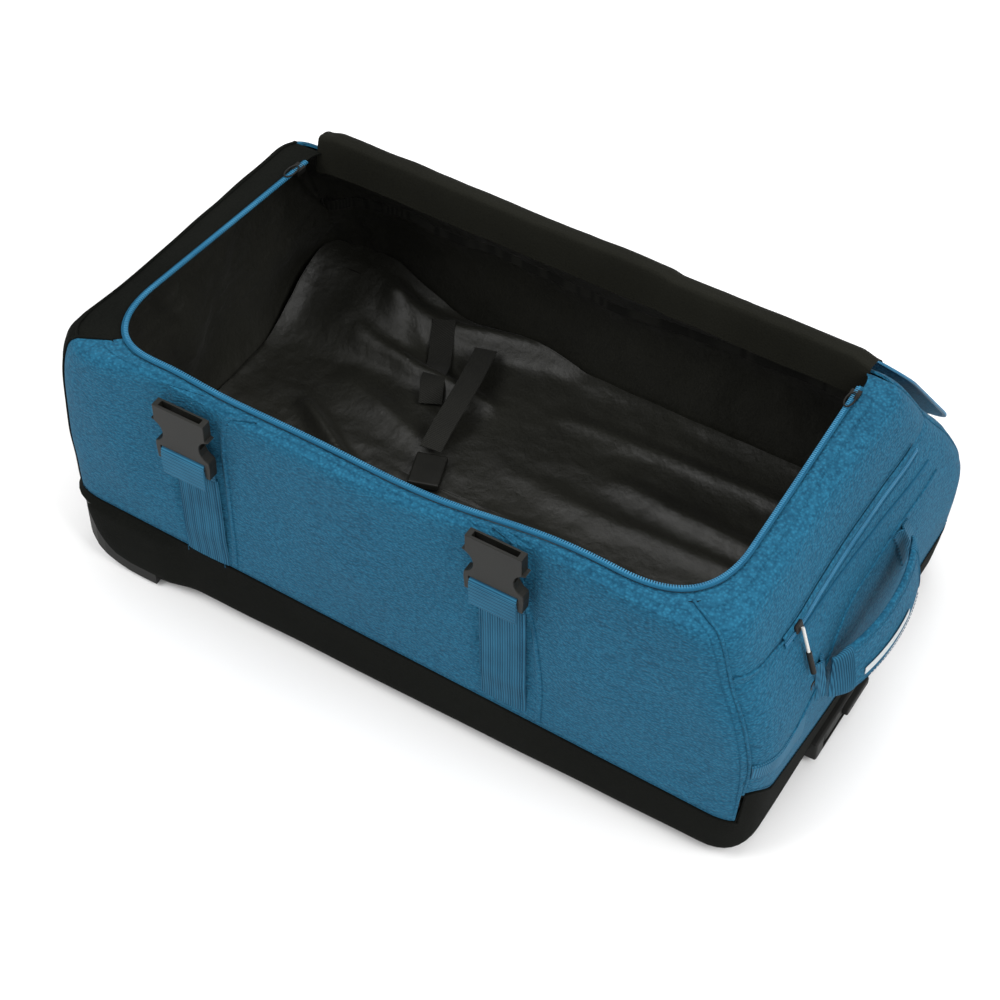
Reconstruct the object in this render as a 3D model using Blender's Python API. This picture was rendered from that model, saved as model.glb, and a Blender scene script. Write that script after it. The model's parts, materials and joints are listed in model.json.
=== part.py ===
"""Rolling duffel bag, lying on its back with the lid thrown open behind it.

Units are metres, +Z is up.  +X points to the handle end, -X to the wheel end,
and -Y to the long side with the two closing buckles.  The bag is built about
the middle of its base and then shifted, so that the world origin is the bottom
centre of the whole object's box, lid and carry handle included.
"""

import math

import bmesh
import bpy
from mathutils import Matrix, Vector

# ---------------------------------------------------------------- driving dimensions

BAG_SHIFT = Vector((-0.0257, -0.0593, 0.0))

FABRIC = 0.0024                 # outer fabric with its foam
TRAY_WALL = 0.0030              # moulded tray under its fabric cover
LINING_DEPTH = 0.0062           # from the outer surface in to the lining
LINING = 0.0012
GAP = 0.0004                    # clearance between neighbouring pieces

WHEEL_RADIUS = 0.0360
WHEEL_WIDTH = 0.0240
WHEEL_AXLE = Vector((-0.3300, 0.2092, 0.0365))
WELL_RADIUS = 0.0410
AXLE_RADIUS = 0.0040
BEARING_RADIUS = 0.0090

TUBE_SPREAD = 0.0550            # each trolley tube's distance from the centre line
TUBE_HEIGHT = 0.0222            # height of the trolley tubes' centre line
SLEEVE_WIDE, SLEEVE_TALL = 0.0240, 0.0140
STAGE_WIDE, STAGE_TALL = 0.0208, 0.0108
ROD_WIDE, ROD_TALL = 0.0176, 0.0076
TUBE_WALL = 0.0011
SLEEVE_START, SLEEVE_END = -0.2700, 0.3480

HINGE_Y, HINGE_Z = 0.1400, 0.3340
HINGE_FLAP = 0.0120             # soft fold between the hinge line and the lid's stiff edge
LID_OPEN = math.radians(232.0)  # swing from shut to hanging open
LID_THICK = 0.0100

BUCKLE_X = (-0.2090, 0.1310)
BUCKLE_TOP = (0.3140, 0.3370)
BUCKLE_Y = -0.2440              # middle of the buckle's thickness
BUCKLE_WIDE, BUCKLE_TALL, BUCKLE_THICK = 0.0600, 0.0720, 0.0110
WEBBING_WIDE = 0.0500
WEBBING_THICK = 0.0016
STRAP_HINGE_Z = 0.3460
STRAP_FOLD = math.radians(205.0)

HANDLE_SPAN = 0.0875            # each end's distance from the handle's middle
HANDLE_X, HANDLE_Y, HANDLE_HEIGHT = 0.4020, -0.0205, 0.1800
HANDLE_REACH = 0.0330

# Level of the bag's skin: height at the wheel end and at the handle end, then the
# skin's x at the wheel end (front, rear), at the handle end, its y at the front
# and rear, and the plan radius of the front and rear corners.
LEVELS = (
    # z_left  z_right  xl_front  xl_rear  xr_front  xr_rear  y_front  y_rear  r_front  r_rear
    (0.0040, 0.0040, -0.3020, -0.3020, 0.3660, 0.3660, -0.2140, 0.2140, 0.030, 0.030),
    (0.0180, 0.0180, -0.3500, -0.3500, 0.3820, 0.3820, -0.2265, 0.2265, 0.040, 0.040),
    (0.0400, 0.0400, -0.3740, -0.3740, 0.3870, 0.3870, -0.2300, 0.2300, 0.042, 0.042),
    (0.0980, 0.0720, -0.3870, -0.3870, 0.3910, 0.3910, -0.2310, 0.2310, 0.042, 0.042),
    (0.1500, 0.1500, -0.3875, -0.3870, 0.3950, 0.3950, -0.2320, 0.2310, 0.045, 0.042),
    (0.2100, 0.2100, -0.3850, -0.3800, 0.3870, 0.3870, -0.2330, 0.2050, 0.045, 0.042),
    (0.2650, 0.2650, -0.3800, -0.3680, 0.3700, 0.3700, -0.2330, 0.1680, 0.048, 0.040),
    (0.3000, 0.3040, -0.3730, -0.3520, 0.3600, 0.3570, -0.2320, 0.1430, 0.050, 0.035),
    (0.3150, 0.3220, -0.3640, -0.3400, 0.3500, 0.3440, -0.2290, 0.1300, 0.055, 0.028),
    (0.3180, 0.3260, -0.3450, -0.3120, 0.3310, 0.3220, -0.2220, 0.1260, 0.090, 0.020),
    (0.3170, 0.3250, -0.3330, -0.3010, 0.3190, 0.3110, -0.2110, 0.1240, 0.085, 0.018),
)
TRAY_TOP, POCKET_SEAM, TOP_EDGE, ZIP_LINE, ZIP_EDGE = 3, 6, 8, 9, 10

# Places round the skin: each side and each corner is one unit long, starting at
# the wheel end of the front side and running towards the handle end.
FRONT, FRONT_RIGHT, RIGHT, REAR_RIGHT, REAR, REAR_LEFT, LEFT, FRONT_LEFT = range(8)
ROUND = 8
SIDE_STEPS, CORNER_STEPS = 5, 4

BLUE = (0.045, 0.165, 0.300)
BLACK_CLOTH = (0.018, 0.018, 0.016)
BLACK_LINING = (0.014, 0.014, 0.010)
BLACK_PLASTIC = (0.030, 0.030, 0.028)
BUCKLE_GREY = (0.050, 0.050, 0.044)
RUBBER = (0.020, 0.020, 0.020)
ALUMINIUM = (0.620, 0.630, 0.640)
STEEL = (0.480, 0.480, 0.480)
WHITE_CORD = (0.700, 0.700, 0.680)


# ---------------------------------------------------------------- general helpers

def clear_scene():
    """Remove whatever the scene holds."""
    for thing in list(bpy.data.objects):
        bpy.data.objects.remove(thing, do_unlink=True)


def material(name, colour, roughness, metallic=0.0):
    """A plain Principled material."""
    made = bpy.data.materials.new(name)
    made.use_nodes = True
    shader = made.node_tree.nodes["Principled BSDF"]
    shader.inputs["Base Color"].default_value = (*colour, 1.0)
    shader.inputs["Roughness"].default_value = roughness
    shader.inputs["Metallic"].default_value = metallic
    made.diffuse_color = (*colour, 1.0)
    return made


def empty(name, location, parent=None):
    """An empty that carries moving pieces."""
    made = bpy.data.objects.new(name, None)
    bpy.context.collection.objects.link(made)
    made.location = location
    made.parent = parent
    return made


def hinged_frame(name, pivot, parent, turned=0.0):
    """A frame turned about an X line through pivot, for pieces drawn where they'd be unturned."""
    axis = empty(f"{name}_axis", pivot, parent)
    axis.rotation_euler.x = turned
    return empty(f"{name}_frame", -pivot, axis)


def finish(name, mesh_bm, look, parent, origin=Vector((0, 0, 0)), smooth=False):
    """Turn a bmesh into a named object whose origin is the given point."""
    bmesh.ops.translate(mesh_bm, verts=mesh_bm.verts, vec=-origin)
    bmesh.ops.recalc_face_normals(mesh_bm, faces=mesh_bm.faces)
    if mesh_bm.calc_volume(signed=True) < 0:
        bmesh.ops.reverse_faces(mesh_bm, faces=mesh_bm.faces)
    mesh = bpy.data.meshes.new(name)
    mesh_bm.to_mesh(mesh)
    mesh_bm.free()
    mesh.materials.append(look)
    if smooth:
        mesh.shade_smooth()
        mesh.set_sharp_from_angle(angle=math.radians(35))
    made = bpy.data.objects.new(name, mesh)
    bpy.context.collection.objects.link(made)
    made.location = origin
    made.parent = parent
    return made


def bevelled(thing, width, segments=2):
    """Round an object's edges."""
    rounding = thing.modifiers.new("rounding", "BEVEL")
    rounding.width = width
    rounding.segments = segments
    rounding.limit_method = "ANGLE"
    return thing


def box_bm(low, high):
    """A box between two opposite corners."""
    mesh_bm = bmesh.new()
    low, high = Vector(low), Vector(high)
    verts = bmesh.ops.create_cube(mesh_bm, size=1.0)["verts"]
    bmesh.ops.scale(mesh_bm, verts=verts, vec=high - low)
    bmesh.ops.translate(mesh_bm, verts=verts, vec=(low + high) / 2)
    return mesh_bm


def box(name, low, high, look, parent, rounding=0.0, origin=Vector((0, 0, 0))):
    """A box object, with rounded edges where asked."""
    made = finish(name, box_bm(low, high), look, parent, origin)
    if rounding:
        bevelled(made, rounding)
    return made


def extruded_bm(outline, low, high, axes):
    """A flat outline extruded from low to high; axes picks its plane, such as "xz"."""
    places = {letter: index for index, letter in enumerate("xyz")}
    third = next(letter for letter in "xyz" if letter not in axes)
    mesh_bm = bmesh.new()
    rings = []
    for depth in (low, high):
        ring = []
        for first, second in outline:
            point = [0.0, 0.0, 0.0]
            point[places[axes[0]]] = first
            point[places[axes[1]]] = second
            point[places[third]] = depth
            ring.append(mesh_bm.verts.new(point))
        rings.append(ring)
    count = len(outline)
    mesh_bm.faces.new(rings[0])
    mesh_bm.faces.new(list(reversed(rings[1])))
    for index in range(count):
        after = (index + 1) % count
        mesh_bm.faces.new((rings[0][index], rings[1][index], rings[1][after], rings[0][after]))
    return mesh_bm


def arc(centre, radius, start, end, steps):
    """Points of a flat arc, angles in degrees."""
    points = []
    for index in range(steps + 1):
        angle = math.radians(start + (end - start) * index / steps)
        points.append((centre[0] + radius * math.cos(angle), centre[1] + radius * math.sin(angle)))
    return points


def turned_bm(profile, centre, steps):
    """A closed (radius, along) profile turned about the Y direction through centre."""
    mesh_bm = bmesh.new()
    rings = []
    for index in range(steps):
        angle = 2 * math.pi * index / steps
        ring = []
        for radius, along in profile:
            offset = Vector((radius * math.cos(angle), along, radius * math.sin(angle)))
            ring.append(mesh_bm.verts.new(centre + offset))
        rings.append(ring)
    count = len(profile)
    for index, ring in enumerate(rings):
        after = rings[(index + 1) % steps]
        for point in range(count):
            ahead = (point + 1) % count
            mesh_bm.faces.new((ring[point], after[point], after[ahead], ring[ahead]))
    return mesh_bm


def cylinder_bm(centre, radius, length, axis, steps=24):
    """A plain cylinder about centre along "x", "y" or "z"."""
    mesh_bm = bmesh.new()
    bmesh.ops.create_cone(
        mesh_bm, cap_ends=True, segments=steps, radius1=radius, radius2=radius, depth=length)
    turns = {"x": Matrix.Rotation(math.pi / 2, 3, "Y"),
             "y": Matrix.Rotation(math.pi / 2, 3, "X"),
             "z": Matrix.Identity(3)}
    bmesh.ops.rotate(mesh_bm, verts=mesh_bm.verts, matrix=turns[axis])
    bmesh.ops.translate(mesh_bm, verts=mesh_bm.verts, vec=centre)
    return mesh_bm


def swept_bm(points, sections, up):
    """A section of (across, up) offsets carried along points; one section for each point."""
    mesh_bm = bmesh.new()
    rings = []
    for index, point in enumerate(points):
        before = points[max(index - 1, 0)]
        after = points[min(index + 1, len(points) - 1)]
        along = (after - before).normalized()
        across = along.cross(up).normalized()
        rise = across.cross(along)
        ring = [mesh_bm.verts.new(point + across * a + rise * b) for a, b in sections[index]]
        rings.append(ring)
    count = len(sections[0])
    for first, second in zip(rings, rings[1:]):
        for index in range(count):
            ahead = (index + 1) % count
            mesh_bm.faces.new((first[index], first[ahead], second[ahead], second[index]))
    mesh_bm.faces.new(list(reversed(rings[0])))
    mesh_bm.faces.new(rings[-1])
    return mesh_bm


def oval_section(half_wide, half_tall, sides):
    """The (across, up) points of an oval section."""
    turns = [math.tau * side / sides for side in range(sides)]
    return [(half_wide * math.cos(turn), half_tall * math.sin(turn)) for turn in turns]


def cut(thing, cutter_bm, name, operation="DIFFERENCE"):
    """Cut a shape out of an object with an exact Boolean, or keep only what they share."""
    cutter = finish(name, cutter_bm, thing.data.materials[0], thing.parent)
    cutter.hide_render = True
    cutter.display_type = "WIRE"
    opening = thing.modifiers.new(name, "BOOLEAN")
    opening.operation = operation
    opening.solver = "EXACT"
    opening.object = cutter


# ---------------------------------------------------------------- the bag's skin

def level_values(level):
    """The LEVELS row at a level number, which may lie between two rows."""
    lower = min(int(level), len(LEVELS) - 2)
    share = level - lower
    pairs = zip(LEVELS[lower], LEVELS[lower + 1])
    return [low + (high - low) * share for low, high in pairs]


def corner_points(values):
    """The four plan corners of one level with their radii, in order round the bag."""
    z_left, z_right, xl_front, xl_rear, xr_front, xr_rear, y_front, y_rear, r_front, r_rear = values
    return (
        (Vector((xl_front, y_front, z_left)), r_front),
        (Vector((xr_front, y_front, z_right)), r_front),
        (Vector((xr_rear, y_rear, z_right)), r_rear),
        (Vector((xl_rear, y_rear, z_left)), r_rear),
    )


def skin_point(place, level):
    """A point of the bag's outer surface."""
    corners = corner_points(level_values(level))
    place = place % ROUND
    side = int(place)
    share = place - side
    start, start_radius = corners[(side // 2) % 4]
    end, end_radius = corners[(side // 2 + 1) % 4]
    along = (end - start).normalized()
    if side % 2 == 0:
        leave = start + along * start_radius
        arrive = end - along * end_radius
        return leave.lerp(arrive, share)
    onward = (corners[(side // 2 + 2) % 4][0] - end).normalized()
    leave = end - along * end_radius
    arrive = end + onward * end_radius
    return leave.lerp(end, share).lerp(end.lerp(arrive, share), share)


def skin_normal(place, level):
    """The outward direction of the skin."""
    step = 0.02
    top = len(LEVELS) - 1
    around = skin_point(place + step, level) - skin_point(place - step, level)
    upward = skin_point(place, min(level + step, top)) - skin_point(place, max(level - step, 0))
    return around.cross(upward).normalized()


def places_between(start, end):
    """Place numbers from start to end, denser in the corners."""
    places = [start]
    side = int(start)
    while side < end:
        steps = SIDE_STEPS if side % 2 == 0 else CORNER_STEPS
        for index in range(steps):
            place = side + index / steps
            if start + 0.05 < place < end - 0.05:
                places.append(place)
        side += 1
    places.append(end)
    return places


def levels_between(start, end):
    """Level numbers from start to end: the ends and each row between them."""
    middle = [row for row in range(int(start) + 1, math.ceil(end)) if start + 0.05 < row < end - 0.05]
    return [start, *middle, end]


def skin_panel_bm(places, levels, outside, inside):
    """A panel of the skin between two depths under the outer surface."""
    mesh_bm = bmesh.new()
    faces = []
    for depth in (outside, inside):
        grid = []
        for level in levels:
            row = [skin_point(place, level) - skin_normal(place, level) * depth for place in places]
            grid.append([mesh_bm.verts.new(point) for point in row])
        faces.append(grid)
    rows, columns = len(levels), len(places)
    for grid in faces:
        for row in range(rows - 1):
            for column in range(columns - 1):
                mesh_bm.faces.new((grid[row][column], grid[row][column + 1],
                                   grid[row + 1][column + 1], grid[row + 1][column]))
    border = [(0, column) for column in range(columns)]
    border += [(row, columns - 1) for row in range(1, rows)]
    border += [(rows - 1, column) for column in range(columns - 2, -1, -1)]
    border += [(row, 0) for row in range(rows - 2, 0, -1)]
    for index, (row, column) in enumerate(border):
        row_after, column_after = border[(index + 1) % len(border)]
        mesh_bm.faces.new((faces[0][row][column], faces[0][row_after][column_after],
                           faces[1][row_after][column_after], faces[1][row][column]))
    return mesh_bm


def skin_tub_bm(levels, outside, inside):
    """A tub made of the whole skin between two depths, closed by a floor at its lowest level."""
    places = places_between(0, ROUND)[:-1]
    mesh_bm = bmesh.new()
    grids = []
    for depth in (outside, inside):
        grid = []
        for level in levels:
            row = [skin_point(place, level) - skin_normal(place, level) * depth for place in places]
            grid.append([mesh_bm.verts.new(point) for point in row])
        grids.append(grid)
    floor_z = level_values(levels[0])[0]
    for vertex in grids[1][0]:
        vertex.co.z = floor_z + inside - outside
    for vertex in grids[0][0]:
        vertex.co.z = floor_z
    count = len(places)
    for grid in grids:
        for lower, upper in zip(grid, grid[1:]):
            for index in range(count):
                ahead = (index + 1) % count
                mesh_bm.faces.new((lower[index], lower[ahead], upper[ahead], upper[index]))
        mesh_bm.faces.new(grid[0])
    for index in range(count):
        ahead = (index + 1) % count
        mesh_bm.faces.new((grids[0][-1][index], grids[0][-1][ahead],
                           grids[1][-1][ahead], grids[1][-1][index]))
    return mesh_bm


def level_clear_of_seam(level, direction, clearance):
    """A level number moved off a seam, up or down, by a clearance measured on the skin."""
    step = 0.1 * direction
    spacing = (skin_point(FRONT + 0.5, level + step) - skin_point(FRONT + 0.5, level)).length
    return level + step * clearance / spacing


def skin_panel(name, start, end, low, high, look, parent, outside=0.0, inside=FABRIC):
    """A named panel of the skin, kept just clear of its neighbours on all sides."""
    place_trim, level_trim = 0.004, 0.0011
    places = places_between(start + place_trim, end - place_trim)
    levels = levels_between(level_clear_of_seam(low, 1, level_trim), level_clear_of_seam(high, -1, level_trim))
    return finish(name, skin_panel_bm(places, levels, outside, inside), look, parent, smooth=True)


# ---------------------------------------------------------------- base, wheels and panels

def mirrored(point, sign):
    """A point of the far side, or its mirror image on the near side."""
    return Vector((point.x, point.y * sign, point.z))


def span_y(low, high, sign):
    """A pair of y limits for the far side, or for its mirror image."""
    return tuple(sorted((low * sign, high * sign)))


HOUSING_INNER_Y, HOUSING_OUTER_Y = 0.1885, 0.2335
HOUSING_END_X, HOUSING_TOP = -0.2850, 0.0880
HOUSING_TIP_X = -0.3885
HOUSING_SOLE = 0.0044
GUARD_ROUND = 0.0800
PLAN_ROUND = 0.0420
WELL_INNER_Y, WELL_OUTER_Y = 0.1925, 0.2260
AXLE_HOLE_INNER_WALL, AXLE_HOLE_OUTER_WALL = 0.0010, 0.0030
AXLE_END_PLAY = 0.0005
OUTSIDE_THE_BAG = 0.0300


def housing_side_outline(grow):
    """The wheel housing seen from the side, grown by a clearance."""
    centre = (HOUSING_TIP_X + GUARD_ROUND, HOUSING_SOLE + GUARD_ROUND)
    corner = arc(centre, GUARD_ROUND + grow, 270, 180, 10)
    return [(HOUSING_END_X + grow, HOUSING_SOLE - grow), *corner,
            (HOUSING_TIP_X - grow, HOUSING_TOP + grow), (HOUSING_END_X + grow, HOUSING_TOP + grow)]


def housing_plan_outline(sign):
    """The wheel housing seen from above, with its rounded outer corner."""
    beyond, skin = 0.0100, 0.0002
    centre = (HOUSING_TIP_X + PLAN_ROUND, HOUSING_OUTER_Y - PLAN_ROUND)
    corner = arc(centre, PLAN_ROUND + skin, 180, 90, 6)
    outline = [(HOUSING_END_X + beyond, HOUSING_INNER_Y - beyond),
               (HOUSING_TIP_X - skin, HOUSING_INNER_Y - beyond), *corner,
               (HOUSING_END_X + beyond, HOUSING_OUTER_Y + skin)]
    return [(x, y * sign) for x, y in outline]


def make_wheel_housing(side, sign, look, parent):
    """A moulded corner guard with a well that is open below and at the end."""
    low, high = span_y(HOUSING_INNER_Y, HOUSING_OUTER_Y, sign)
    housing = finish(f"wheel_housing_{side}", extruded_bm(housing_side_outline(0.0), low, high, "xz"),
                     look, parent)
    plan_low, plan_high = HOUSING_SOLE - OUTSIDE_THE_BAG, HOUSING_TOP + OUTSIDE_THE_BAG
    guide_bm = extruded_bm(housing_plan_outline(sign), plan_low, plan_high, "xy")
    cut(housing, guide_bm, "corner_guide", "INTERSECT")
    axle_x, axle_z = WHEEL_AXLE.x, WHEEL_AXLE.z
    roof = arc((axle_x, axle_z), WELL_RADIUS, 0, 90, 8)
    well = [(axle_x + WELL_RADIUS, -OUTSIDE_THE_BAG), *roof,
            (HOUSING_TIP_X - OUTSIDE_THE_BAG, axle_z + WELL_RADIUS),
            (HOUSING_TIP_X - OUTSIDE_THE_BAG, -OUTSIDE_THE_BAG)]
    cut(housing, extruded_bm(well, *span_y(WELL_INNER_Y, WELL_OUTER_Y, sign), "xz"), "wheel_well")
    hole_start, hole_stop = HOUSING_INNER_Y + AXLE_HOLE_INNER_WALL, HOUSING_OUTER_Y - AXLE_HOLE_OUTER_WALL
    hole_low, hole_high = span_y(hole_start, hole_stop, sign)
    hole_centre = Vector((axle_x, (hole_low + hole_high) / 2, axle_z))
    cut(housing, cylinder_bm(hole_centre, AXLE_RADIUS + GAP, hole_high - hole_low, "y", 20), "axle_hole")


HUB_BOSS_RADIUS, HUB_WEB_RADIUS, RIM_RADIUS = 0.0128, 0.0242, 0.0285
HUB_HALF_WEB = 0.0032
BOSS_STEP, RIM_STEP, TYRE_STEP = 0.0010, 0.0025, 0.0020     # how far each stops short of the wheel's width
CROWN_RADIUS, CROWN_ANGLE = 0.0300, 18


def make_wheel(side, sign, looks, parent):
    """A tyre on a webbed hub that runs on a bush round a steel axle."""
    centre = mirrored(WHEEL_AXLE, sign)
    half = WHEEL_WIDTH / 2
    axle_low = HOUSING_INNER_Y + AXLE_HOLE_INNER_WALL + AXLE_END_PLAY
    axle_high = HOUSING_OUTER_Y - AXLE_HOLE_OUTER_WALL - AXLE_END_PLAY
    axle_centre = Vector((centre.x, (axle_low + axle_high) / 2 * sign, centre.z))
    axle_bm = cylinder_bm(axle_centre, AXLE_RADIUS, axle_high - axle_low, "y", 20)
    finish(f"wheel_axle_{side}", axle_bm, looks["steel"], parent, smooth=True)
    boss, rim, bore = half - BOSS_STEP, half - RIM_STEP, BEARING_RADIUS + GAP
    bush_profile = [(AXLE_RADIUS + GAP, -boss), (BEARING_RADIUS, -boss), (BEARING_RADIUS, boss),
                    (AXLE_RADIUS + GAP, boss)]
    hub_profile = [(bore, -boss), (HUB_BOSS_RADIUS, -boss), (HUB_BOSS_RADIUS, -HUB_HALF_WEB),
                   (HUB_WEB_RADIUS, -HUB_HALF_WEB), (HUB_WEB_RADIUS, -rim), (RIM_RADIUS, -rim),
                   (RIM_RADIUS, rim), (HUB_WEB_RADIUS, rim), (HUB_WEB_RADIUS, HUB_HALF_WEB),
                   (HUB_BOSS_RADIUS, HUB_HALF_WEB), (HUB_BOSS_RADIUS, boss), (bore, boss)]
    crown = arc((WHEEL_RADIUS - CROWN_RADIUS, 0.0), CROWN_RADIUS, -CROWN_ANGLE, CROWN_ANGLE, 6)
    tyre_end = half - TYRE_STEP
    tyre_profile = [(RIM_RADIUS + GAP, -tyre_end), *crown, (RIM_RADIUS + GAP, tyre_end)]
    rings = (("wheel_bush", bush_profile, "steel", 20), ("wheel_hub", hub_profile, "plastic", 28),
             ("wheel_tyre", tyre_profile, "rubber", 40))
    for name, profile, look, steps in rings:
        finish(f"{name}_{side}", turned_bm(profile, centre, steps), looks[look], parent, centre, smooth=True)


TRAY_END_LEVEL = 2.95
BEZEL_HALF, BEZEL_LOW, BEZEL_HIGH = 0.0820, 0.0080, 0.0345
BEZEL_BACK, BEZEL_FACE = 0.3690, 0.3925


def housing_cutter(sign):
    """The room that one wheel housing takes out of the base and lining."""
    clearance = 0.0006
    low_y, high_y = span_y(HOUSING_INNER_Y - clearance, HOUSING_OUTER_Y + OUTSIDE_THE_BAG, sign)
    return box_bm((HOUSING_TIP_X - OUTSIDE_THE_BAG, low_y, -OUTSIDE_THE_BAG),
                  (HOUSING_END_X + clearance, high_y, HOUSING_TOP + clearance))


def make_base(looks, parent):
    """The shallow moulded tray that the bag stands in, its foot and its floor board."""
    levels = [0, 1, 2, TRAY_END_LEVEL]
    tray = finish("base_tray", skin_tub_bm(levels, 0.0, TRAY_WALL), looks["black_cloth"], parent, smooth=True)
    for name, sign in (("near_room", -1), ("far_room", 1)):
        cut(tray, housing_cutter(sign), name)
    edge = GAP
    bezel_room = box_bm((BEZEL_BACK - edge, -BEZEL_HALF - edge, BEZEL_LOW - edge),
                        (BEZEL_FACE + OUTSIDE_THE_BAG, BEZEL_HALF + edge, BEZEL_HIGH + edge))
    cut(tray, bezel_room, "bezel_room")
    foot_start, foot_end, foot_half, foot_top = 0.2750, 0.3050, 0.1500, 0.0036
    box("base_foot", (foot_start, -foot_half, 0.0), (foot_end, foot_half, foot_top), looks["plastic"], parent,
        rounding=0.0012)
    board_low, board_high = 0.0352, 0.0372
    box("floor_board", (-0.2780, -0.2050, board_low), (0.3600, 0.2050, board_high), looks["board"], parent)


FRONT_SEAMS = (FRONT_LEFT + 0.55, ROUND + FRONT_RIGHT + 0.45)
REAR_SEAMS = (REAR_RIGHT + 0.5, REAR_LEFT + 0.5)


def make_panels(looks, parent):
    """The bag's outer panels, each sewn to its neighbours at a corner seam."""
    front_start, front_end = FRONT_SEAMS
    rear_start, rear_end = REAR_SEAMS
    blue, black = looks["blue"], looks["black_cloth"]
    skin_panel("front_panel", front_start, front_end, TRAY_TOP, ZIP_LINE, blue, parent)
    skin_panel("handle_end_panel", front_end, rear_start + ROUND, TRAY_TOP, POCKET_SEAM, blue, parent)
    skin_panel("handle_end_top", front_end, rear_start + ROUND, POCKET_SEAM, ZIP_LINE, blue, parent)
    skin_panel("rear_panel", rear_start, rear_end, TRAY_TOP, TOP_EDGE, blue, parent)
    skin_panel("wheel_end_panel", rear_end, front_start, TRAY_TOP, TOP_EDGE, black, parent)
    skin_panel("wheel_end_top", rear_end, front_start, TOP_EDGE, ZIP_LINE, black, parent)


def make_lining(looks, parent):
    """The thin bag inside the bag, open at the top and cut round the wheel housings."""
    lowest, highest = 2.0, 8.7
    levels = levels_between(lowest, highest)
    lining = finish("lining", skin_tub_bm(levels, LINING_DEPTH, LINING_DEPTH + LINING), looks["lining"],
                    parent, smooth=True)
    for name, sign in (("near_bulge", -1), ("far_bulge", 1)):
        cut(lining, housing_cutter(sign), name)


# ---------------------------------------------------------------- trolley handle

def square_tube_bm(start, end, y, wide, tall, wall):
    """A rectangular tube along X, open at both ends."""
    mesh_bm = bmesh.new()
    rings = []
    for x, inset in ((start, 0.0), (end, 0.0), (end, wall), (start, wall)):
        half_y, half_z = wide / 2 - inset, tall / 2 - inset
        corners = ((-half_y, -half_z), (half_y, -half_z), (half_y, half_z), (-half_y, half_z))
        rings.append([mesh_bm.verts.new((x, y + a, TUBE_HEIGHT + b)) for a, b in corners])
    for index, ring in enumerate(rings):
        after = rings[(index + 1) % len(rings)]
        for corner in range(4):
            ahead = (corner + 1) % 4
            mesh_bm.faces.new((ring[corner], ring[ahead], after[ahead], after[corner]))
    return mesh_bm


STAGE_START, ROD_START = -0.2000, -0.1900
BRACKET_LONG, BRACKET_PAST_TUBE, BRACKET_LOW, BRACKET_ABOVE_TUBE = 0.0200, 0.0200, 0.0078, 0.0100
STAGE_END, COLLAR_END = 0.3490, 0.3565
GRIP_BACK, GRIP_BAR, GRIP_FACE = 0.3580, 0.3740, 0.3915
GRIP_HALF, GRIP_LEG_INNER, GRIP_TALL = 0.0655, 0.0460, 0.0180
GRIP_LEG_TAPER, GRIP_CORNER = 0.0040, 0.0060
GRIP_SIDE_ROOM, GRIP_TALL_ROOM = 0.0015, 0.0010
BUTTON_HALF, BUTTON_TALL, BUTTON_BACK, BUTTON_FACE = 0.0240, 0.0094, 0.3865, 0.3975
BUTTON_ROOM, BUTTON_TRAVEL_ROOM = 0.0005, 0.0060
CUT_PAST = 0.0100               # how far a cutter runs on past the piece it cuts


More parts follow.
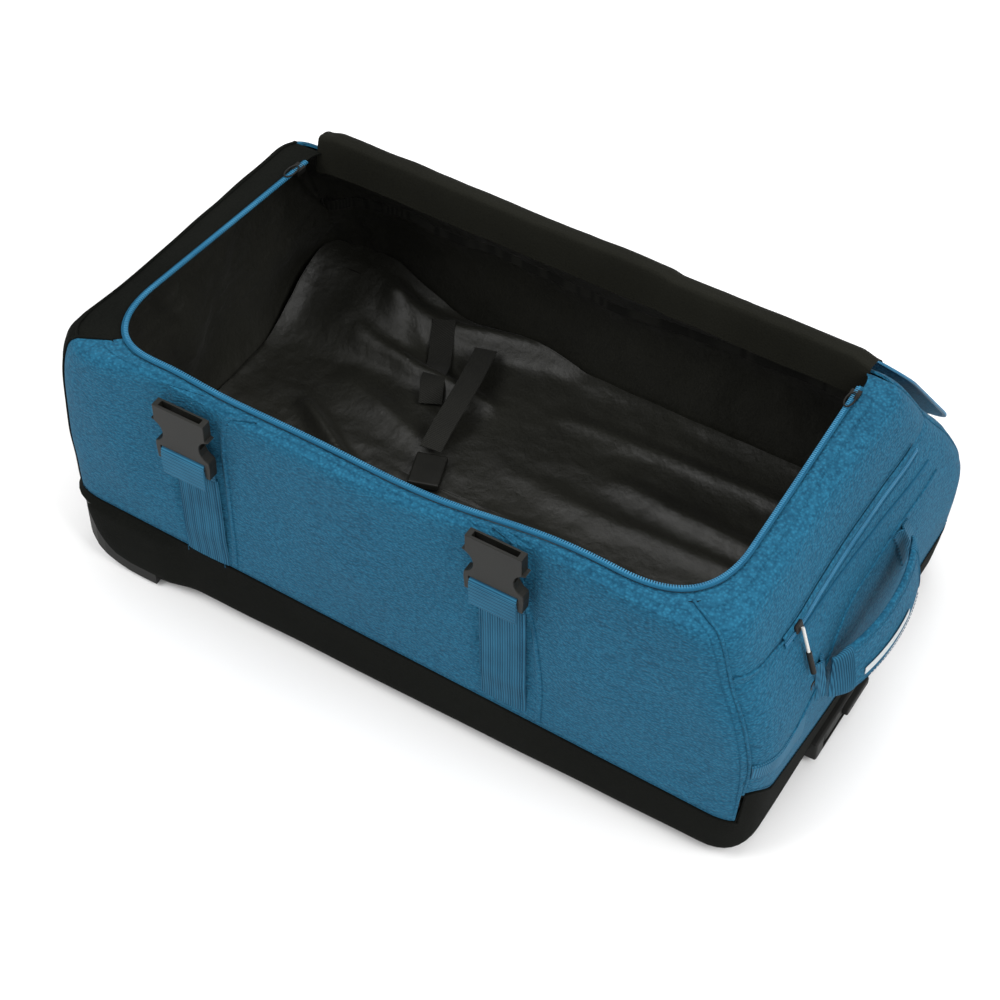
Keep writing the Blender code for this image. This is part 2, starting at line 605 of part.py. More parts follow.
def make_trolley(looks, bag, stage_one, stage_two, button):
    """Two telescoping stages in fixed sleeves, pulled by a grip that nests in a bezel."""
    for side, sign in (("near", -1), ("far", 1)):
        y = TUBE_SPREAD * sign
        finish(f"trolley_sleeve_{side}",
               square_tube_bm(SLEEVE_START, SLEEVE_END, y, SLEEVE_WIDE, SLEEVE_TALL, TUBE_WALL),
               looks["aluminium"], bag)
        finish(f"trolley_stage_{side}",
               square_tube_bm(STAGE_START, STAGE_END - GAP, y, STAGE_WIDE, STAGE_TALL, TUBE_WALL),
               looks["aluminium"], stage_one)
        collar_wall = (SLEEVE_WIDE - ROD_WIDE) / 2 - 2 * GAP
        finish(f"trolley_collar_{side}",
               square_tube_bm(STAGE_END, COLLAR_END, y, SLEEVE_WIDE, SLEEVE_TALL, collar_wall),
               looks["plastic"], stage_one)
        rod_low = (ROD_START, y - ROD_WIDE / 2, TUBE_HEIGHT - ROD_TALL / 2)
        rod_high = (GRIP_BACK - GAP, y + ROD_WIDE / 2, TUBE_HEIGHT + ROD_TALL / 2)
        box(f"trolley_rod_{side}", rod_low, rod_high, looks["aluminium"], stage_two)
    bracket_half = TUBE_SPREAD + BRACKET_PAST_TUBE
    box("trolley_bracket", (SLEEVE_START - BRACKET_LONG, -bracket_half, BRACKET_LOW),
        (SLEEVE_START - GAP, bracket_half, TUBE_HEIGHT + BRACKET_ABOVE_TUBE), looks["plastic"], bag,
        rounding=0.0020)
    bezel = box("trolley_bezel", (BEZEL_BACK, -BEZEL_HALF, BEZEL_LOW), (BEZEL_FACE, BEZEL_HALF, BEZEL_HIGH),
                looks["bezel"], bag, rounding=0.0025)
    opening_half, opening_tall = GRIP_HALF + GRIP_SIDE_ROOM, GRIP_TALL / 2 + GRIP_TALL_ROOM
    cut(bezel, box_bm((BEZEL_BACK - CUT_PAST, -opening_half, TUBE_HEIGHT - opening_tall),
                      (BEZEL_FACE + CUT_PAST, opening_half, TUBE_HEIGHT + opening_tall)), "grip_opening")
    low, high = TUBE_HEIGHT - GRIP_TALL / 2, TUBE_HEIGHT + GRIP_TALL / 2
    leg_foot = GRIP_LEG_INNER - GRIP_LEG_TAPER
    half_of_grip = [(leg_foot, GRIP_BAR), (GRIP_LEG_INNER, GRIP_BACK), (GRIP_HALF, GRIP_BACK),
                    (GRIP_HALF, GRIP_FACE - GRIP_CORNER), (GRIP_HALF - GRIP_CORNER, GRIP_FACE)]
    outline = half_of_grip + [(-y, x) for y, x in reversed(half_of_grip)]
    grip = finish("trolley_grip", extruded_bm(outline, low, high, "yx"), looks["plastic"], stage_two)
    bevelled(grip, 0.0022)
    slot_half, slot_tall = BUTTON_HALF + BUTTON_ROOM, BUTTON_TALL / 2 + BUTTON_ROOM
    cut(grip, box_bm((BUTTON_BACK - BUTTON_TRAVEL_ROOM, -slot_half, TUBE_HEIGHT - slot_tall),
                     (GRIP_FACE + CUT_PAST, slot_half, TUBE_HEIGHT + slot_tall)), "button_slot")
    box("release_button", (BUTTON_BACK, -BUTTON_HALF, TUBE_HEIGHT - BUTTON_TALL / 2),
        (BUTTON_FACE, BUTTON_HALF, TUBE_HEIGHT + BUTTON_TALL / 2), looks["plastic"], button, rounding=0.0015)


# ---------------------------------------------------------------- lid and closing buckles

LID_CLEAR = 0.0008
LID_LINING = 0.0012
LID_HINGE_STEP = 0.0080         # the lid's round edge stops this far short of its straight hinge side
LID_CORNER_SET_IN = 0.0010
BINDING_HALF, BINDING_WIDE, BINDING_TALL = 0.2900, 0.0090, 0.0045
BINDING_PAST_CREST, BINDING_CLEAR = 0.0060, 0.0008
STRAP_REACH_Y = -0.2385
STRAP_START_Y = -0.0600


def lid_outline():
    """The lid's plan: it follows the zip round three sides and the hinge on the fourth."""
    edge = [skin_point(place, ZIP_LINE) for place in places_between(LEFT, ROUND + REAR_RIGHT)]
    hinge_side = HINGE_Y - HINGE_FLAP
    outline = [(point.x, point.y) for point in edge if point.y < hinge_side - LID_HINGE_STEP]
    left, right = outline[0][0] + LID_CORNER_SET_IN, outline[-1][0] - LID_CORNER_SET_IN
    return [(left, hinge_side), *outline, (right, hinge_side)]


def make_lid(looks, bag, lid):
    """The padded lid with its lining, half of the zip and the two straps sewn across it."""
    low = HINGE_Z + LID_CLEAR
    middle, high = low + LID_LINING + GAP, low + LID_THICK
    outline = lid_outline()
    hinge = Vector((0.0, HINGE_Y, HINGE_Z))
    finish("lid_lining", extruded_bm(outline, low, middle - GAP, "xy"), looks["lining"], lid, hinge)
    panel = finish("lid_panel", extruded_bm(outline, middle, high, "xy"), looks["blue"], lid, hinge)
    bevelled(panel, 0.0040)
    strap_low = high + GAP
    for side, x in zip(("left", "right"), BUCKLE_X):
        box(f"lid_strap_{side}", (x - WEBBING_WIDE / 2, STRAP_REACH_Y, strap_low),
            (x + WEBBING_WIDE / 2, STRAP_START_Y, strap_low + WEBBING_THICK), looks["webbing"], lid,
            origin=hinge)
    crest = skin_point(REAR, TOP_EDGE)
    low = Vector((-BINDING_HALF, crest.y - BINDING_PAST_CREST, crest.z + BINDING_CLEAR))
    box("hinge_binding", low, low + Vector((2 * BINDING_HALF, BINDING_WIDE, BINDING_TALL)),
        looks["black_cloth"], bag, rounding=0.0012)


PLUG_HALF_WIDE, PLUG_HALF_THICK, PLUG_ABOVE_HINGE = 0.0255, 0.0042, 0.0025
SHOULDER_CLEAR, PRONG_LONG, NECK_DEEP = 0.0008, 0.0340, 0.0060
PRONG_OUTER, PRONG_INNER, PRONG_TIP_CUT = 0.0225, 0.0155, 0.0030
BARB_LONG, GUIDE_HALF, GUIDE_SHORT_OF_TIP = 0.0060, 0.0040, 0.0080
THIN_HALF, THINNING_HALF_WIDE, THINNING_DEEP, THINNING_ABOVE_MOUTH = 0.0024, 0.0320, 0.0600, 0.0006
THINNING_REACH = 0.0200


def male_buckle_bm(x, mouth):
    """The plug half of a side-release buckle, pointing down into the socket's mouth."""
    top, shoulder, tip = STRAP_HINGE_Z + PLUG_ABOVE_HINGE, mouth + SHOULDER_CLEAR, mouth - PRONG_LONG
    neck = shoulder - NECK_DEEP
    right = [(GUIDE_HALF, tip + GUIDE_SHORT_OF_TIP), (GUIDE_HALF, neck), (PRONG_INNER, neck),
             (PRONG_INNER, tip + PRONG_TIP_CUT), (PRONG_OUTER - PRONG_TIP_CUT, tip),
             (PRONG_OUTER, tip + BARB_LONG), (PRONG_OUTER, shoulder), (PLUG_HALF_WIDE, shoulder),
             (PLUG_HALF_WIDE, top)]
    outline = [(x + a, b) for a, b in right] + [(x - a, b) for a, b in reversed(right)]
    return extruded_bm(outline, BUCKLE_Y - PLUG_HALF_THICK, BUCKLE_Y + PLUG_HALF_THICK, "xz")


def thin_prongs(thing, x, mouth):
    """Thin the plug below its shoulder so that it slides into the socket."""
    for name, low, high in (("front_thinning", BUCKLE_Y - THINNING_REACH, BUCKLE_Y - THIN_HALF),
                            ("back_thinning", BUCKLE_Y + THIN_HALF, BUCKLE_Y + THINNING_REACH)):
        cut(thing, box_bm((x - THINNING_HALF_WIDE, low, mouth - THINNING_DEEP),
                          (x + THINNING_HALF_WIDE, high, mouth + THINNING_ABOVE_MOUTH)), name)


MOUTH_SIDE, MOUTH_SET_IN = 0.0200, 0.0010
WAIST_RADIUS, WAIST_CENTRE_OUT = 0.0150, 0.0055
EAR_SHOULDER_DROP, EAR_WIDE, EAR_NOTCH_WIDE, EAR_NOTCH_TALL = 0.0060, 0.0050, 0.0060, 0.0090


def socket_outline(x, top):
    """The socket half of the buckle: a square mouth, a waist and two flared ears."""
    half = BUCKLE_WIDE / 2
    waist_z = top - MOUTH_SIDE - WAIST_RADIUS
    ear_z = top - BUCKLE_TALL
    right = [(half - MOUTH_SET_IN, top), (half - MOUTH_SET_IN, top - MOUTH_SIDE)]
    right += arc((half + WAIST_CENTRE_OUT, waist_z), WAIST_RADIUS, 100, 250, 8)
    right += [(half + MOUTH_SET_IN, waist_z - WAIST_RADIUS - EAR_SHOULDER_DROP), (half, ear_z),
              (half - EAR_WIDE, ear_z), (half - EAR_NOTCH_WIDE, ear_z + EAR_NOTCH_TALL)]
    return [(x + a, b) for a, b in right] + [(x - a, b) for a, b in reversed(right)]


BAR_ABOVE_EARS, ROOT_BELOW_EARS, ROOT_Y = 0.0165, 0.0180, -0.2366
CAVITY_HALF_WIDE, CAVITY_HALF_THICK, CAVITY_DEEP = 0.0235, 0.0031, 0.0370
SLOT_SIDE_ROOM, SLOT_HALF_TALL = 0.0006, 0.0020
LOOP_CLEAR, LOOP_SIDE, LOOP_CORNER, LOOP_BEND, LOOP_BELOW_BAR = 0.0014, 0.0006, 0.0020, 0.0018, 0.0050
LOOP_HANG = 0.0280
STRIP_Y, STRIP_LOW, STRIP_BELOW_ROOT = -0.2350, 0.1000, 0.0012


def webbing_root(top):
    """Where a socket's webbing leaves the wall, which is the line that the socket flips about."""
    return Vector((0.0, ROOT_Y, top - BUCKLE_TALL - ROOT_BELOW_EARS))


def ribbon_outline(points, thickness):
    """The outline of a thin ribbon that follows flat points."""
    half = thickness / 2
    left, right = [], []
    for index, point in enumerate(points):
        before = Vector(points[max(index - 1, 0)])
        after = Vector(points[min(index + 1, len(points) - 1)])
        along = (after - before).normalized()
        side = Vector((-along.y, along.x)) * half
        left.append(tuple(Vector(point) + side))
        right.append(tuple(Vector(point) - side))
    return left + list(reversed(right))


def make_buckle(side, x, top, looks, bag, socket_body, strap_body):
    """A side-release buckle: socket on the bag's front, plug on the lid's strap."""
    thick = BUCKLE_THICK / 2
    root = webbing_root(top)
    bar_z = top - BUCKLE_TALL + BAR_ABOVE_EARS
    socket_bm = extruded_bm(socket_outline(x, top), BUCKLE_Y - thick, BUCKLE_Y + thick, "xz")
    socket = finish(f"buckle_socket_{side}", socket_bm, looks["buckle"], socket_body, root)
    bevelled(socket, 0.0016)
    cut(socket, box_bm((x - CAVITY_HALF_WIDE, BUCKLE_Y - CAVITY_HALF_THICK, top - CAVITY_DEEP),
                       (x + CAVITY_HALF_WIDE, BUCKLE_Y + CAVITY_HALF_THICK, top + CUT_PAST)), "socket_mouth")
    slot_half = WEBBING_WIDE / 2 + SLOT_SIDE_ROOM
    cut(socket, box_bm((x - slot_half, BUCKLE_Y - CUT_PAST, bar_z - SLOT_HALF_TALL),
                       (x + slot_half, BUCKLE_Y + CUT_PAST, bar_z + SLOT_HALF_TALL)), "webbing_slot")
    half_web = WEBBING_WIDE / 2 - LOOP_SIDE
    back_y, front_y = BUCKLE_Y + thick + LOOP_CLEAR, BUCKLE_Y - thick - LOOP_CLEAR
    below_z, bend_z = bar_z - LOOP_BELOW_BAR, bar_z - LOOP_BEND
    loop = [(root.y, root.z), (back_y, below_z), (back_y, bend_z), (back_y - LOOP_CORNER, bar_z),
            (front_y + LOOP_CORNER, bar_z), (front_y, bend_z), (front_y, below_z), (front_y, bar_z - LOOP_HANG)]
    loop_bm = extruded_bm(ribbon_outline(loop, WEBBING_THICK), x - half_web, x + half_web, "yz")
    finish(f"buckle_loop_{side}", loop_bm, looks["webbing"], socket_body, root)
    strip_back, strip_face = STRIP_Y + WEBBING_THICK / 2, STRIP_Y - WEBBING_THICK / 2
    box(f"front_webbing_{side}", (x - WEBBING_WIDE / 2, strip_face, STRIP_LOW),
        (x + WEBBING_WIDE / 2, strip_back, root.z - STRIP_BELOW_ROOT), looks["webbing"], bag)
    fold = Vector((0.0, BUCKLE_Y, STRAP_HINGE_Z))
    plug = finish(f"buckle_plug_{side}", male_buckle_bm(x, top), looks["buckle"], strap_body, fold)
    thin_prongs(plug, x, top)


# ---------------------------------------------------------------- zips

SLIDER_LONG = 0.0120
SLIDER_GAP, SLIDER_PLATE, SLIDER_REACH, SLIDER_NOSE = 0.0006, 0.0018, -0.0070, 0.0034
SLIDER_THROAT, ZIP_TAPE, PULL_ABOVE = 0.0008, 0.0012, 0.0016
SLIDER_PLACES = {"left": LEFT + 0.08, "right": ROUND + RIGHT + 0.92}
PULL_LONG, PULL_WIDE, PULL_WIRE = 0.0200, 0.0090, 0.0009


def zip_frame(place):
    """The zip edge's middle point, and its directions inwards, along and up."""
    edge = skin_point(place, ZIP_EDGE)
    inward = (edge - skin_point(place, ZIP_LINE)).normalized()
    along = (skin_point(place + 0.02, ZIP_EDGE) - skin_point(place - 0.02, ZIP_EDGE)).normalized()
    upward = skin_normal(place, ZIP_EDGE - 0.5)
    inward = along.cross(upward) * (1 if along.cross(upward).dot(inward) > 0 else -1)
    return edge, inward, along, upward


def make_zips(looks, bag):
    """The body half of the main zip and the pocket's zip across the handle end."""
    skin_panel("main_zip_tape", LEFT + 0.03, ROUND + RIGHT + 0.97, ZIP_LINE, ZIP_EDGE, looks["zip"], bag,
               inside=ZIP_TAPE)
    proud, backing = -0.0016, -0.0004
    skin_panel("pocket_zip_tape", ROUND + FRONT_RIGHT + 0.55, ROUND + RIGHT + 0.95, POCKET_SEAM - 0.13,
               POCKET_SEAM + 0.07, looks["zip"], bag, outside=proud, inside=backing)


def pull_ring_bm(centre, along, across):
    """A wire loop lying in the plane of the two directions."""
    mesh_bm = bmesh.new()
    normal = along.cross(across).normalized()
    rings = []
    steps, sides = 20, 8
    for index in range(steps):
        angle = 2 * math.pi * index / steps
        spoke = along * math.cos(angle) * PULL_LONG / 2 + across * math.sin(angle) * PULL_WIDE / 2
        outward = (along * math.cos(angle) * PULL_WIDE + across * math.sin(angle) * PULL_LONG).normalized()
        ring = []
        for step in range(sides):
            turn = 2 * math.pi * step / sides
            offset = outward * math.cos(turn) * PULL_WIRE + normal * math.sin(turn) * PULL_WIRE
            ring.append(mesh_bm.verts.new(centre + spoke + offset))
        rings.append(ring)
    for index, ring in enumerate(rings):
        after = rings[(index + 1) % steps]
        for step in range(sides):
            ahead = (step + 1) % sides
            mesh_bm.faces.new((ring[step], after[step], after[ahead], ring[ahead]))
    return mesh_bm


def make_slider(side, looks, bag):
    """A slider clipped round the zip's free edge, with a ring pull hinged on it."""
    edge, inward, along, upward = zip_frame(SLIDER_PLACES[side])
    towards_front = along if side == "left" else -along
    slider_body = empty(f"slider_{side}_axis", edge, bag)
    top, bottom = SLIDER_GAP + SLIDER_PLATE, -ZIP_TAPE - SLIDER_GAP - SLIDER_PLATE
    throat_top, throat_bottom = SLIDER_GAP, bottom + SLIDER_PLATE
    profile = [(SLIDER_REACH, throat_top), (SLIDER_THROAT, throat_top), (SLIDER_THROAT, throat_bottom),
               (SLIDER_REACH, throat_bottom), (SLIDER_REACH, bottom), (SLIDER_NOSE, bottom),
               (SLIDER_NOSE, top), (SLIDER_REACH, top)]
    mesh_bm = bmesh.new()
    rings = []
    for shift in (-SLIDER_LONG / 2, SLIDER_LONG / 2):
        ring = [mesh_bm.verts.new(inward * a + upward * b + along * shift) for a, b in profile]
        rings.append(ring)
    mesh_bm.faces.new(rings[0])
    mesh_bm.faces.new(list(reversed(rings[1])))
    for index in range(len(profile)):
        ahead = (index + 1) % len(profile)
        mesh_bm.faces.new((rings[0][index], rings[1][index], rings[1][ahead], rings[0][ahead]))
    finish(f"zip_slider_{side}", mesh_bm, looks["plastic"], slider_body)
    pivot = inward * (SLIDER_REACH + SLIDER_NOSE) / 2 + upward * (top + PULL_ABOVE)
    pull_body = empty(f"pull_{side}_axis", pivot, slider_body)
    centre = towards_front * (PULL_LONG / 2)
    finish(f"zip_pull_{side}", pull_ring_bm(centre, towards_front, inward), looks["plastic"], pull_body,
           smooth=True)


POCKET_SLIDER_PLACE = ROUND + RIGHT + 0.16
POCKET_SLIDER_LOW, POCKET_SLIDER_HIGH = 0.0021, 0.0060
POCKET_SLIDER_HALF_LONG, POCKET_SLIDER_HALF_TALL = 0.0060, 0.0045
CORD_WIRE, CORD_LONG, TUBE_LONG, TUBE_WIRE = 0.0016, 0.0300, 0.0260, 0.0027
CORD_BEYOND_SLIDER, CORD_HANG = 0.0026, Vector((0.30, 0.0, -1.0))
CORD_STEPS, CORD_SIDES = 3, 10


def make_pocket_slider(looks, bag):
    """The pocket's slider with a cord pull that ends in a moulded tube."""
    level = POCKET_SEAM - 0.03
    surface = skin_point(POCKET_SLIDER_PLACE, level)
    outward = skin_normal(POCKET_SLIDER_PLACE, level)
    along = Vector((0.0, 1.0, 0.0))
    upward = outward.cross(along).normalized()
    upward = upward * (1 if upward.z > 0 else -1)
    body = empty("pocket_slider_axis", surface, bag)
    mesh_bm = bmesh.new()
    ends = (-POCKET_SLIDER_HALF_LONG, POCKET_SLIDER_HALF_LONG)
    edges = (-POCKET_SLIDER_HALF_TALL, POCKET_SLIDER_HALF_TALL)
    corners = [mesh_bm.verts.new(along * a + upward * b + outward * c)
               for a in ends for b in edges for c in (POCKET_SLIDER_LOW, POCKET_SLIDER_HIGH)]
    for index in ((0, 1, 3, 2), (4, 6, 7, 5), (0, 4, 5, 1), (2, 3, 7, 6), (0, 2, 6, 4), (1, 5, 7, 3)):
        mesh_bm.faces.new([corners[place] for place in index])
    bevelled(finish("pocket_slider", mesh_bm, looks["plastic"], body), 0.0012)
    hang = CORD_HANG.normalized()
    root = outward * (POCKET_SLIDER_HIGH + CORD_BEYOND_SLIDER)
    pull = empty("pocket_pull_axis", root, body)
    for name, start, length, radius, look in (
            ("pocket_pull_cord", 0.0, CORD_LONG, CORD_WIRE, "cord"),
            ("pocket_pull_tube", CORD_LONG + GAP, TUBE_LONG, TUBE_WIRE, "plastic")):
        points = [hang * (start + length * step / CORD_STEPS) for step in range(CORD_STEPS + 1)]
        section = oval_section(radius, radius, CORD_SIDES)
        finish(name, swept_bm(points, [section] * len(points), along), looks[look], pull, smooth=True)


# ---------------------------------------------------------------- carry handle and inside strap

HANDLE_STEPS, HANDLE_SIDES, HANDLE_BOW = 16, 12, 0.6
HANDLE_END_TALL, HANDLE_END_THICK = 0.0090, 0.0020          # half sizes where the handle meets its feet
HANDLE_MORE_TALL, HANDLE_MORE_THICK = 0.0150, 0.0028        # what the padding adds to them
HANDLE_PLUMP_RATE = 4.0                                     # the padding is full a quarter of the way along
FOOT_INNER, FOOT_OUTER = 0.0010, 0.0110                     # past the handle's ends
FOOT_LEVELS = (4.10, 4.88)                                  # the foot's low and high edges on the skin
FOOT_BACK, FOOT_FACE = -0.0006, -0.0032                     # depths under the skin, so both stand proud
EYELET_CENTRE = Vector((0.3935, -0.1280, 0.1840))
EYELET_RING = ((0.0026, -0.0008), (0.0056, -0.0008), (0.0050, 0.0008), (0.0030, 0.0008))


def make_carry_handle(looks, bag):
    """The padded carry handle across the handle end, on two sewn feet."""
    swing = empty("carry_handle_axis", Vector((HANDLE_X, HANDLE_Y, HANDLE_HEIGHT)), bag)
    points, sections = [], []
    for index in range(HANDLE_STEPS + 1):
        share = index / HANDLE_STEPS
        across = -HANDLE_SPAN + 2 * HANDLE_SPAN * share
        bow = math.sin(math.pi * share) ** HANDLE_BOW
        points.append(Vector((HANDLE_REACH * bow, across, 0.0)))
        plump = min(1.0, HANDLE_PLUMP_RATE * min(share, 1 - share))
        half_thick = HANDLE_END_THICK + HANDLE_MORE_THICK * plump
        half_tall = HANDLE_END_TALL + HANDLE_MORE_TALL * plump
        sections.append(oval_section(half_thick, half_tall, HANDLE_SIDES))
    finish("carry_handle", swept_bm(points, sections, Vector((0, 0, 1))), looks["blue"], swing, smooth=True)
    foot_level = sum(FOOT_LEVELS) / 2
    start_y, end_y = skin_point(RIGHT, foot_level).y, skin_point(RIGHT + 0.999, foot_level).y
    for side, sign in (("near", -1), ("far", 1)):
        edges = [HANDLE_Y + y for y in span_y(HANDLE_SPAN + FOOT_INNER, HANDLE_SPAN + FOOT_OUTER, sign)]
        low, high = (ROUND + RIGHT + (y - start_y) / (end_y - start_y) for y in edges)
        skin_panel(f"handle_foot_{side}", low, high, *FOOT_LEVELS, looks["webbing"], bag, FOOT_FACE, FOOT_BACK)
    eyelet = turned_bm(EYELET_RING, Vector((0, 0, 0)), 20)
    bmesh.ops.rotate(eyelet, verts=eyelet.verts, matrix=Matrix.Rotation(-math.pi / 2, 3, "Z"))
    made = finish("vent_eyelet", eyelet, looks["plastic"], bag, smooth=True)
    made.location = EYELET_CENTRE


INSIDE_ROOT, INSIDE_TIP = Vector((-0.1650, 0.1850, 0.0500)), Vector((-0.1150, 0.0300, 0.0500))
INSIDE_HALF_WIDE, INSIDE_HALF_THICK, INSIDE_STEPS = 0.0125, 0.0007, 6
INSIDE_BUCKLE_HALF, INSIDE_BUCKLE_LONG, INSIDE_BUCKLE_HALF_THICK = 0.0170, 0.0440, 0.0045


def make_inside_strap(looks, bag):
    """The packing strap sewn to the rear of the floor, with its buckle at the free end."""
    swing = empty("inside_strap_axis", INSIDE_ROOT, bag)
    half_wide, half_thick = INSIDE_HALF_WIDE, INSIDE_HALF_THICK
    section = [(-half_wide, -half_thick), (half_wide, -half_thick), (half_wide, half_thick),
               (-half_wide, half_thick)]
    run = INSIDE_TIP - INSIDE_ROOT
    points = [run * step / INSIDE_STEPS for step in range(INSIDE_STEPS + 1)]
    finish("inside_strap", swept_bm(points, [section] * len(points), Vector((0, 0, 1))), looks["webbing_black"],
           swing)
    along = run.normalized()
    across = along.cross(Vector((0, 0, 1))).normalized()
    buckle_low = (-INSIDE_BUCKLE_HALF, -INSIDE_BUCKLE_LONG, -INSIDE_BUCKLE_HALF_THICK)
    buckle_high = (INSIDE_BUCKLE_HALF, -GAP, INSIDE_BUCKLE_HALF_THICK)
    buckle = box("inside_buckle", buckle_low, buckle_high, looks["buckle"], swing, rounding=0.0020)
    buckle.location = run
    buckle.rotation_euler.z = math.atan2(across.y, across.x) + math.pi


# ---------------------------------------------------------------- assembly

def make_materials():
    """Every material of the bag by its short name."""
    return {
        "blue": material("blue_cloth", BLUE, 0.85),
        "webbing": material("blue_webbing", BLUE, 0.80),
        "zip": material("zip_tape", BLUE, 0.75),
        "black_cloth": material("black_cloth", BLACK_CLOTH, 0.85),
        "lining": material("lining_cloth", BLACK_LINING, 0.45),
        "webbing_black": material("black_webbing", BLACK_LINING, 0.70),
        "board": material("floor_board", BLACK_PLASTIC, 0.60),
        "plastic": material("black_plastic", BLACK_PLASTIC, 0.40),
        "bezel": material("bezel_plastic", BUCKLE_GREY, 0.45),
        "buckle": material("buckle_plastic", BUCKLE_GREY, 0.45),
        "rubber": material("tyre_rubber", RUBBER, 0.70),
        "aluminium": material("aluminium", ALUMINIUM, 0.30, 1.0),
        "steel": material("steel", STEEL, 0.30, 1.0),
        "cord": material("white_cord", WHITE_CORD, 0.80),
    }


def main():
    """Build the whole bag."""
    clear_scene()
    looks = make_materials()
    bag = empty("bag_frame", BAG_SHIFT)
    make_base(looks, bag)
    for side, sign in (("near", -1), ("far", 1)):
        make_wheel_housing(side, sign, looks["plastic"], bag)
        make_wheel(side, sign, looks, bag)
    make_panels(looks, bag)
    make_lining(looks, bag)
    stage_one = empty("trolley_stage_one", Vector((0, 0, 0)), bag)
    stage_two = empty("trolley_stage_two", Vector((0, 0, 0)), stage_one)
    button = empty("release_button_axis", Vector((0, 0, 0)), stage_two)
    make_trolley(looks, bag, stage_one, stage_two, button)
    lid = hinged_frame("lid", Vector((0.0, HINGE_Y, HINGE_Z)), bag, -LID_OPEN)
    make_lid(looks, bag, lid)
    for side, x, top in zip(("left", "right"), BUCKLE_X, BUCKLE_TOP):
        strap_end = hinged_frame(f"strap_end_{side}", Vector((0.0, BUCKLE_Y, STRAP_HINGE_Z)), lid, -STRAP_FOLD)
        socket = hinged_frame(f"buckle_socket_{side}", webbing_root(top), bag)
        make_buckle(side, x, top, looks, bag, socket, strap_end)
    make_zips(looks, bag)
    for side in ("left", "right"):
        make_slider(side, looks, bag)
    make_pocket_slider(looks, bag)
    make_carry_handle(looks, bag)
    make_inside_strap(looks, bag)
    bpy.context.view_layer.update()


main()
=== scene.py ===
"""Looks of the rolling duffel bag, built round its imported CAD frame.

Shapes are drawn in the bag's own axes (the middle of its base, +X to the handle
end, -Y to the buckles) and are moved to the frame by BAG_ORIGIN as they are made.
"""
import json
import math

import bmesh
import bpy
import numpy as np
from mathutils import Matrix, Vector, noise


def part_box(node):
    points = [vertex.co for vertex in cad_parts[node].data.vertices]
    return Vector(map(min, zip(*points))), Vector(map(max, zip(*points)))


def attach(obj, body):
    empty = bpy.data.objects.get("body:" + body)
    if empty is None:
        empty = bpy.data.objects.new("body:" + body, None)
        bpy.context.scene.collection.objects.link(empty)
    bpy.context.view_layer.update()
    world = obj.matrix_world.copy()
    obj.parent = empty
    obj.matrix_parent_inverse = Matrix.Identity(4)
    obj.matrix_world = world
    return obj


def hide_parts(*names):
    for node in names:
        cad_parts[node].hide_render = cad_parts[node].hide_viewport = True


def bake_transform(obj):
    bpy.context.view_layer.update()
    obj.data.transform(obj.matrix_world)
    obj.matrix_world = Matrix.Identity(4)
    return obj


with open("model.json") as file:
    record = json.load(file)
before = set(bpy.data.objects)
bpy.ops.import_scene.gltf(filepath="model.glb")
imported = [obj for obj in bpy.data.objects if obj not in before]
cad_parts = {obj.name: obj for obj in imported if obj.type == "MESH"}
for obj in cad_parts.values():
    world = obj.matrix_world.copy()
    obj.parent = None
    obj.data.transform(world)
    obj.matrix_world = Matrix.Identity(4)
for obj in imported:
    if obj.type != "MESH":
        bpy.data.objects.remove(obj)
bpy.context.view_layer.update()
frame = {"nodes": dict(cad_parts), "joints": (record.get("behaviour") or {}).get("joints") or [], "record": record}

# ---------------------------------------------------------------- places from the frame

JOINTS = {joint["name"]: joint for joint in frame["joints"]}
HINGE_Y, HINGE_Z = 0.1400, 0.3340
LID_OPEN = math.radians(232.0)
BAG_ORIGIN = Vector(JOINTS["lid_hinge"]["pos_m"]) - Vector((0.0, HINGE_Y, HINGE_Z))


def cad_box(node):
    """A CAD node's corners in the bag's own axes."""
    low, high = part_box(node)
    return low - BAG_ORIGIN, high - BAG_ORIGIN


BUCKLES = {side: cad_box(f"buckle_socket_{side}") for side in ("left", "right")}
BUCKLE_X = {side: (low.x + high.x) / 2 for side, (low, high) in BUCKLES.items()}
WEBBING_WIDE = 0.0500
LINING_DEPTH = 0.0062

# The bag's skin by level: height at the wheel and handle ends, x at the wheel end
# (front, rear), x at the handle end, y at the front and rear, and corner radii.
LEVELS = (
    (0.0040, 0.0040, -0.3020, -0.3020, 0.3660, 0.3660, -0.2140, 0.2140, 0.030, 0.030),
    (0.0180, 0.0180, -0.3500, -0.3500, 0.3820, 0.3820, -0.2265, 0.2265, 0.040, 0.040),
    (0.0400, 0.0400, -0.3740, -0.3740, 0.3870, 0.3870, -0.2300, 0.2300, 0.042, 0.042),
    (0.0980, 0.0720, -0.3870, -0.3870, 0.3910, 0.3910, -0.2310, 0.2310, 0.042, 0.042),
    (0.1500, 0.1500, -0.3875, -0.3870, 0.3950, 0.3950, -0.2320, 0.2310, 0.045, 0.042),
    (0.2100, 0.2100, -0.3850, -0.3800, 0.3870, 0.3870, -0.2330, 0.2050, 0.045, 0.042),
    (0.2650, 0.2650, -0.3800, -0.3680, 0.3700, 0.3700, -0.2330, 0.1680, 0.048, 0.040),
    (0.3000, 0.3040, -0.3730, -0.3520, 0.3600, 0.3570, -0.2320, 0.1430, 0.050, 0.035),
    (0.3150, 0.3220, -0.3640, -0.3400, 0.3500, 0.3440, -0.2290, 0.1300, 0.055, 0.028),
    (0.3180, 0.3260, -0.3450, -0.3120, 0.3310, 0.3220, -0.2220, 0.1260, 0.090, 0.020),
    (0.3170, 0.3250, -0.3330, -0.3010, 0.3190, 0.3110, -0.2110, 0.1240, 0.085, 0.018),
)
TRAY_TOP, POCKET_SEAM, TOP_EDGE, ZIP_LINE, ZIP_EDGE = 3, 6, 8, 9, 10
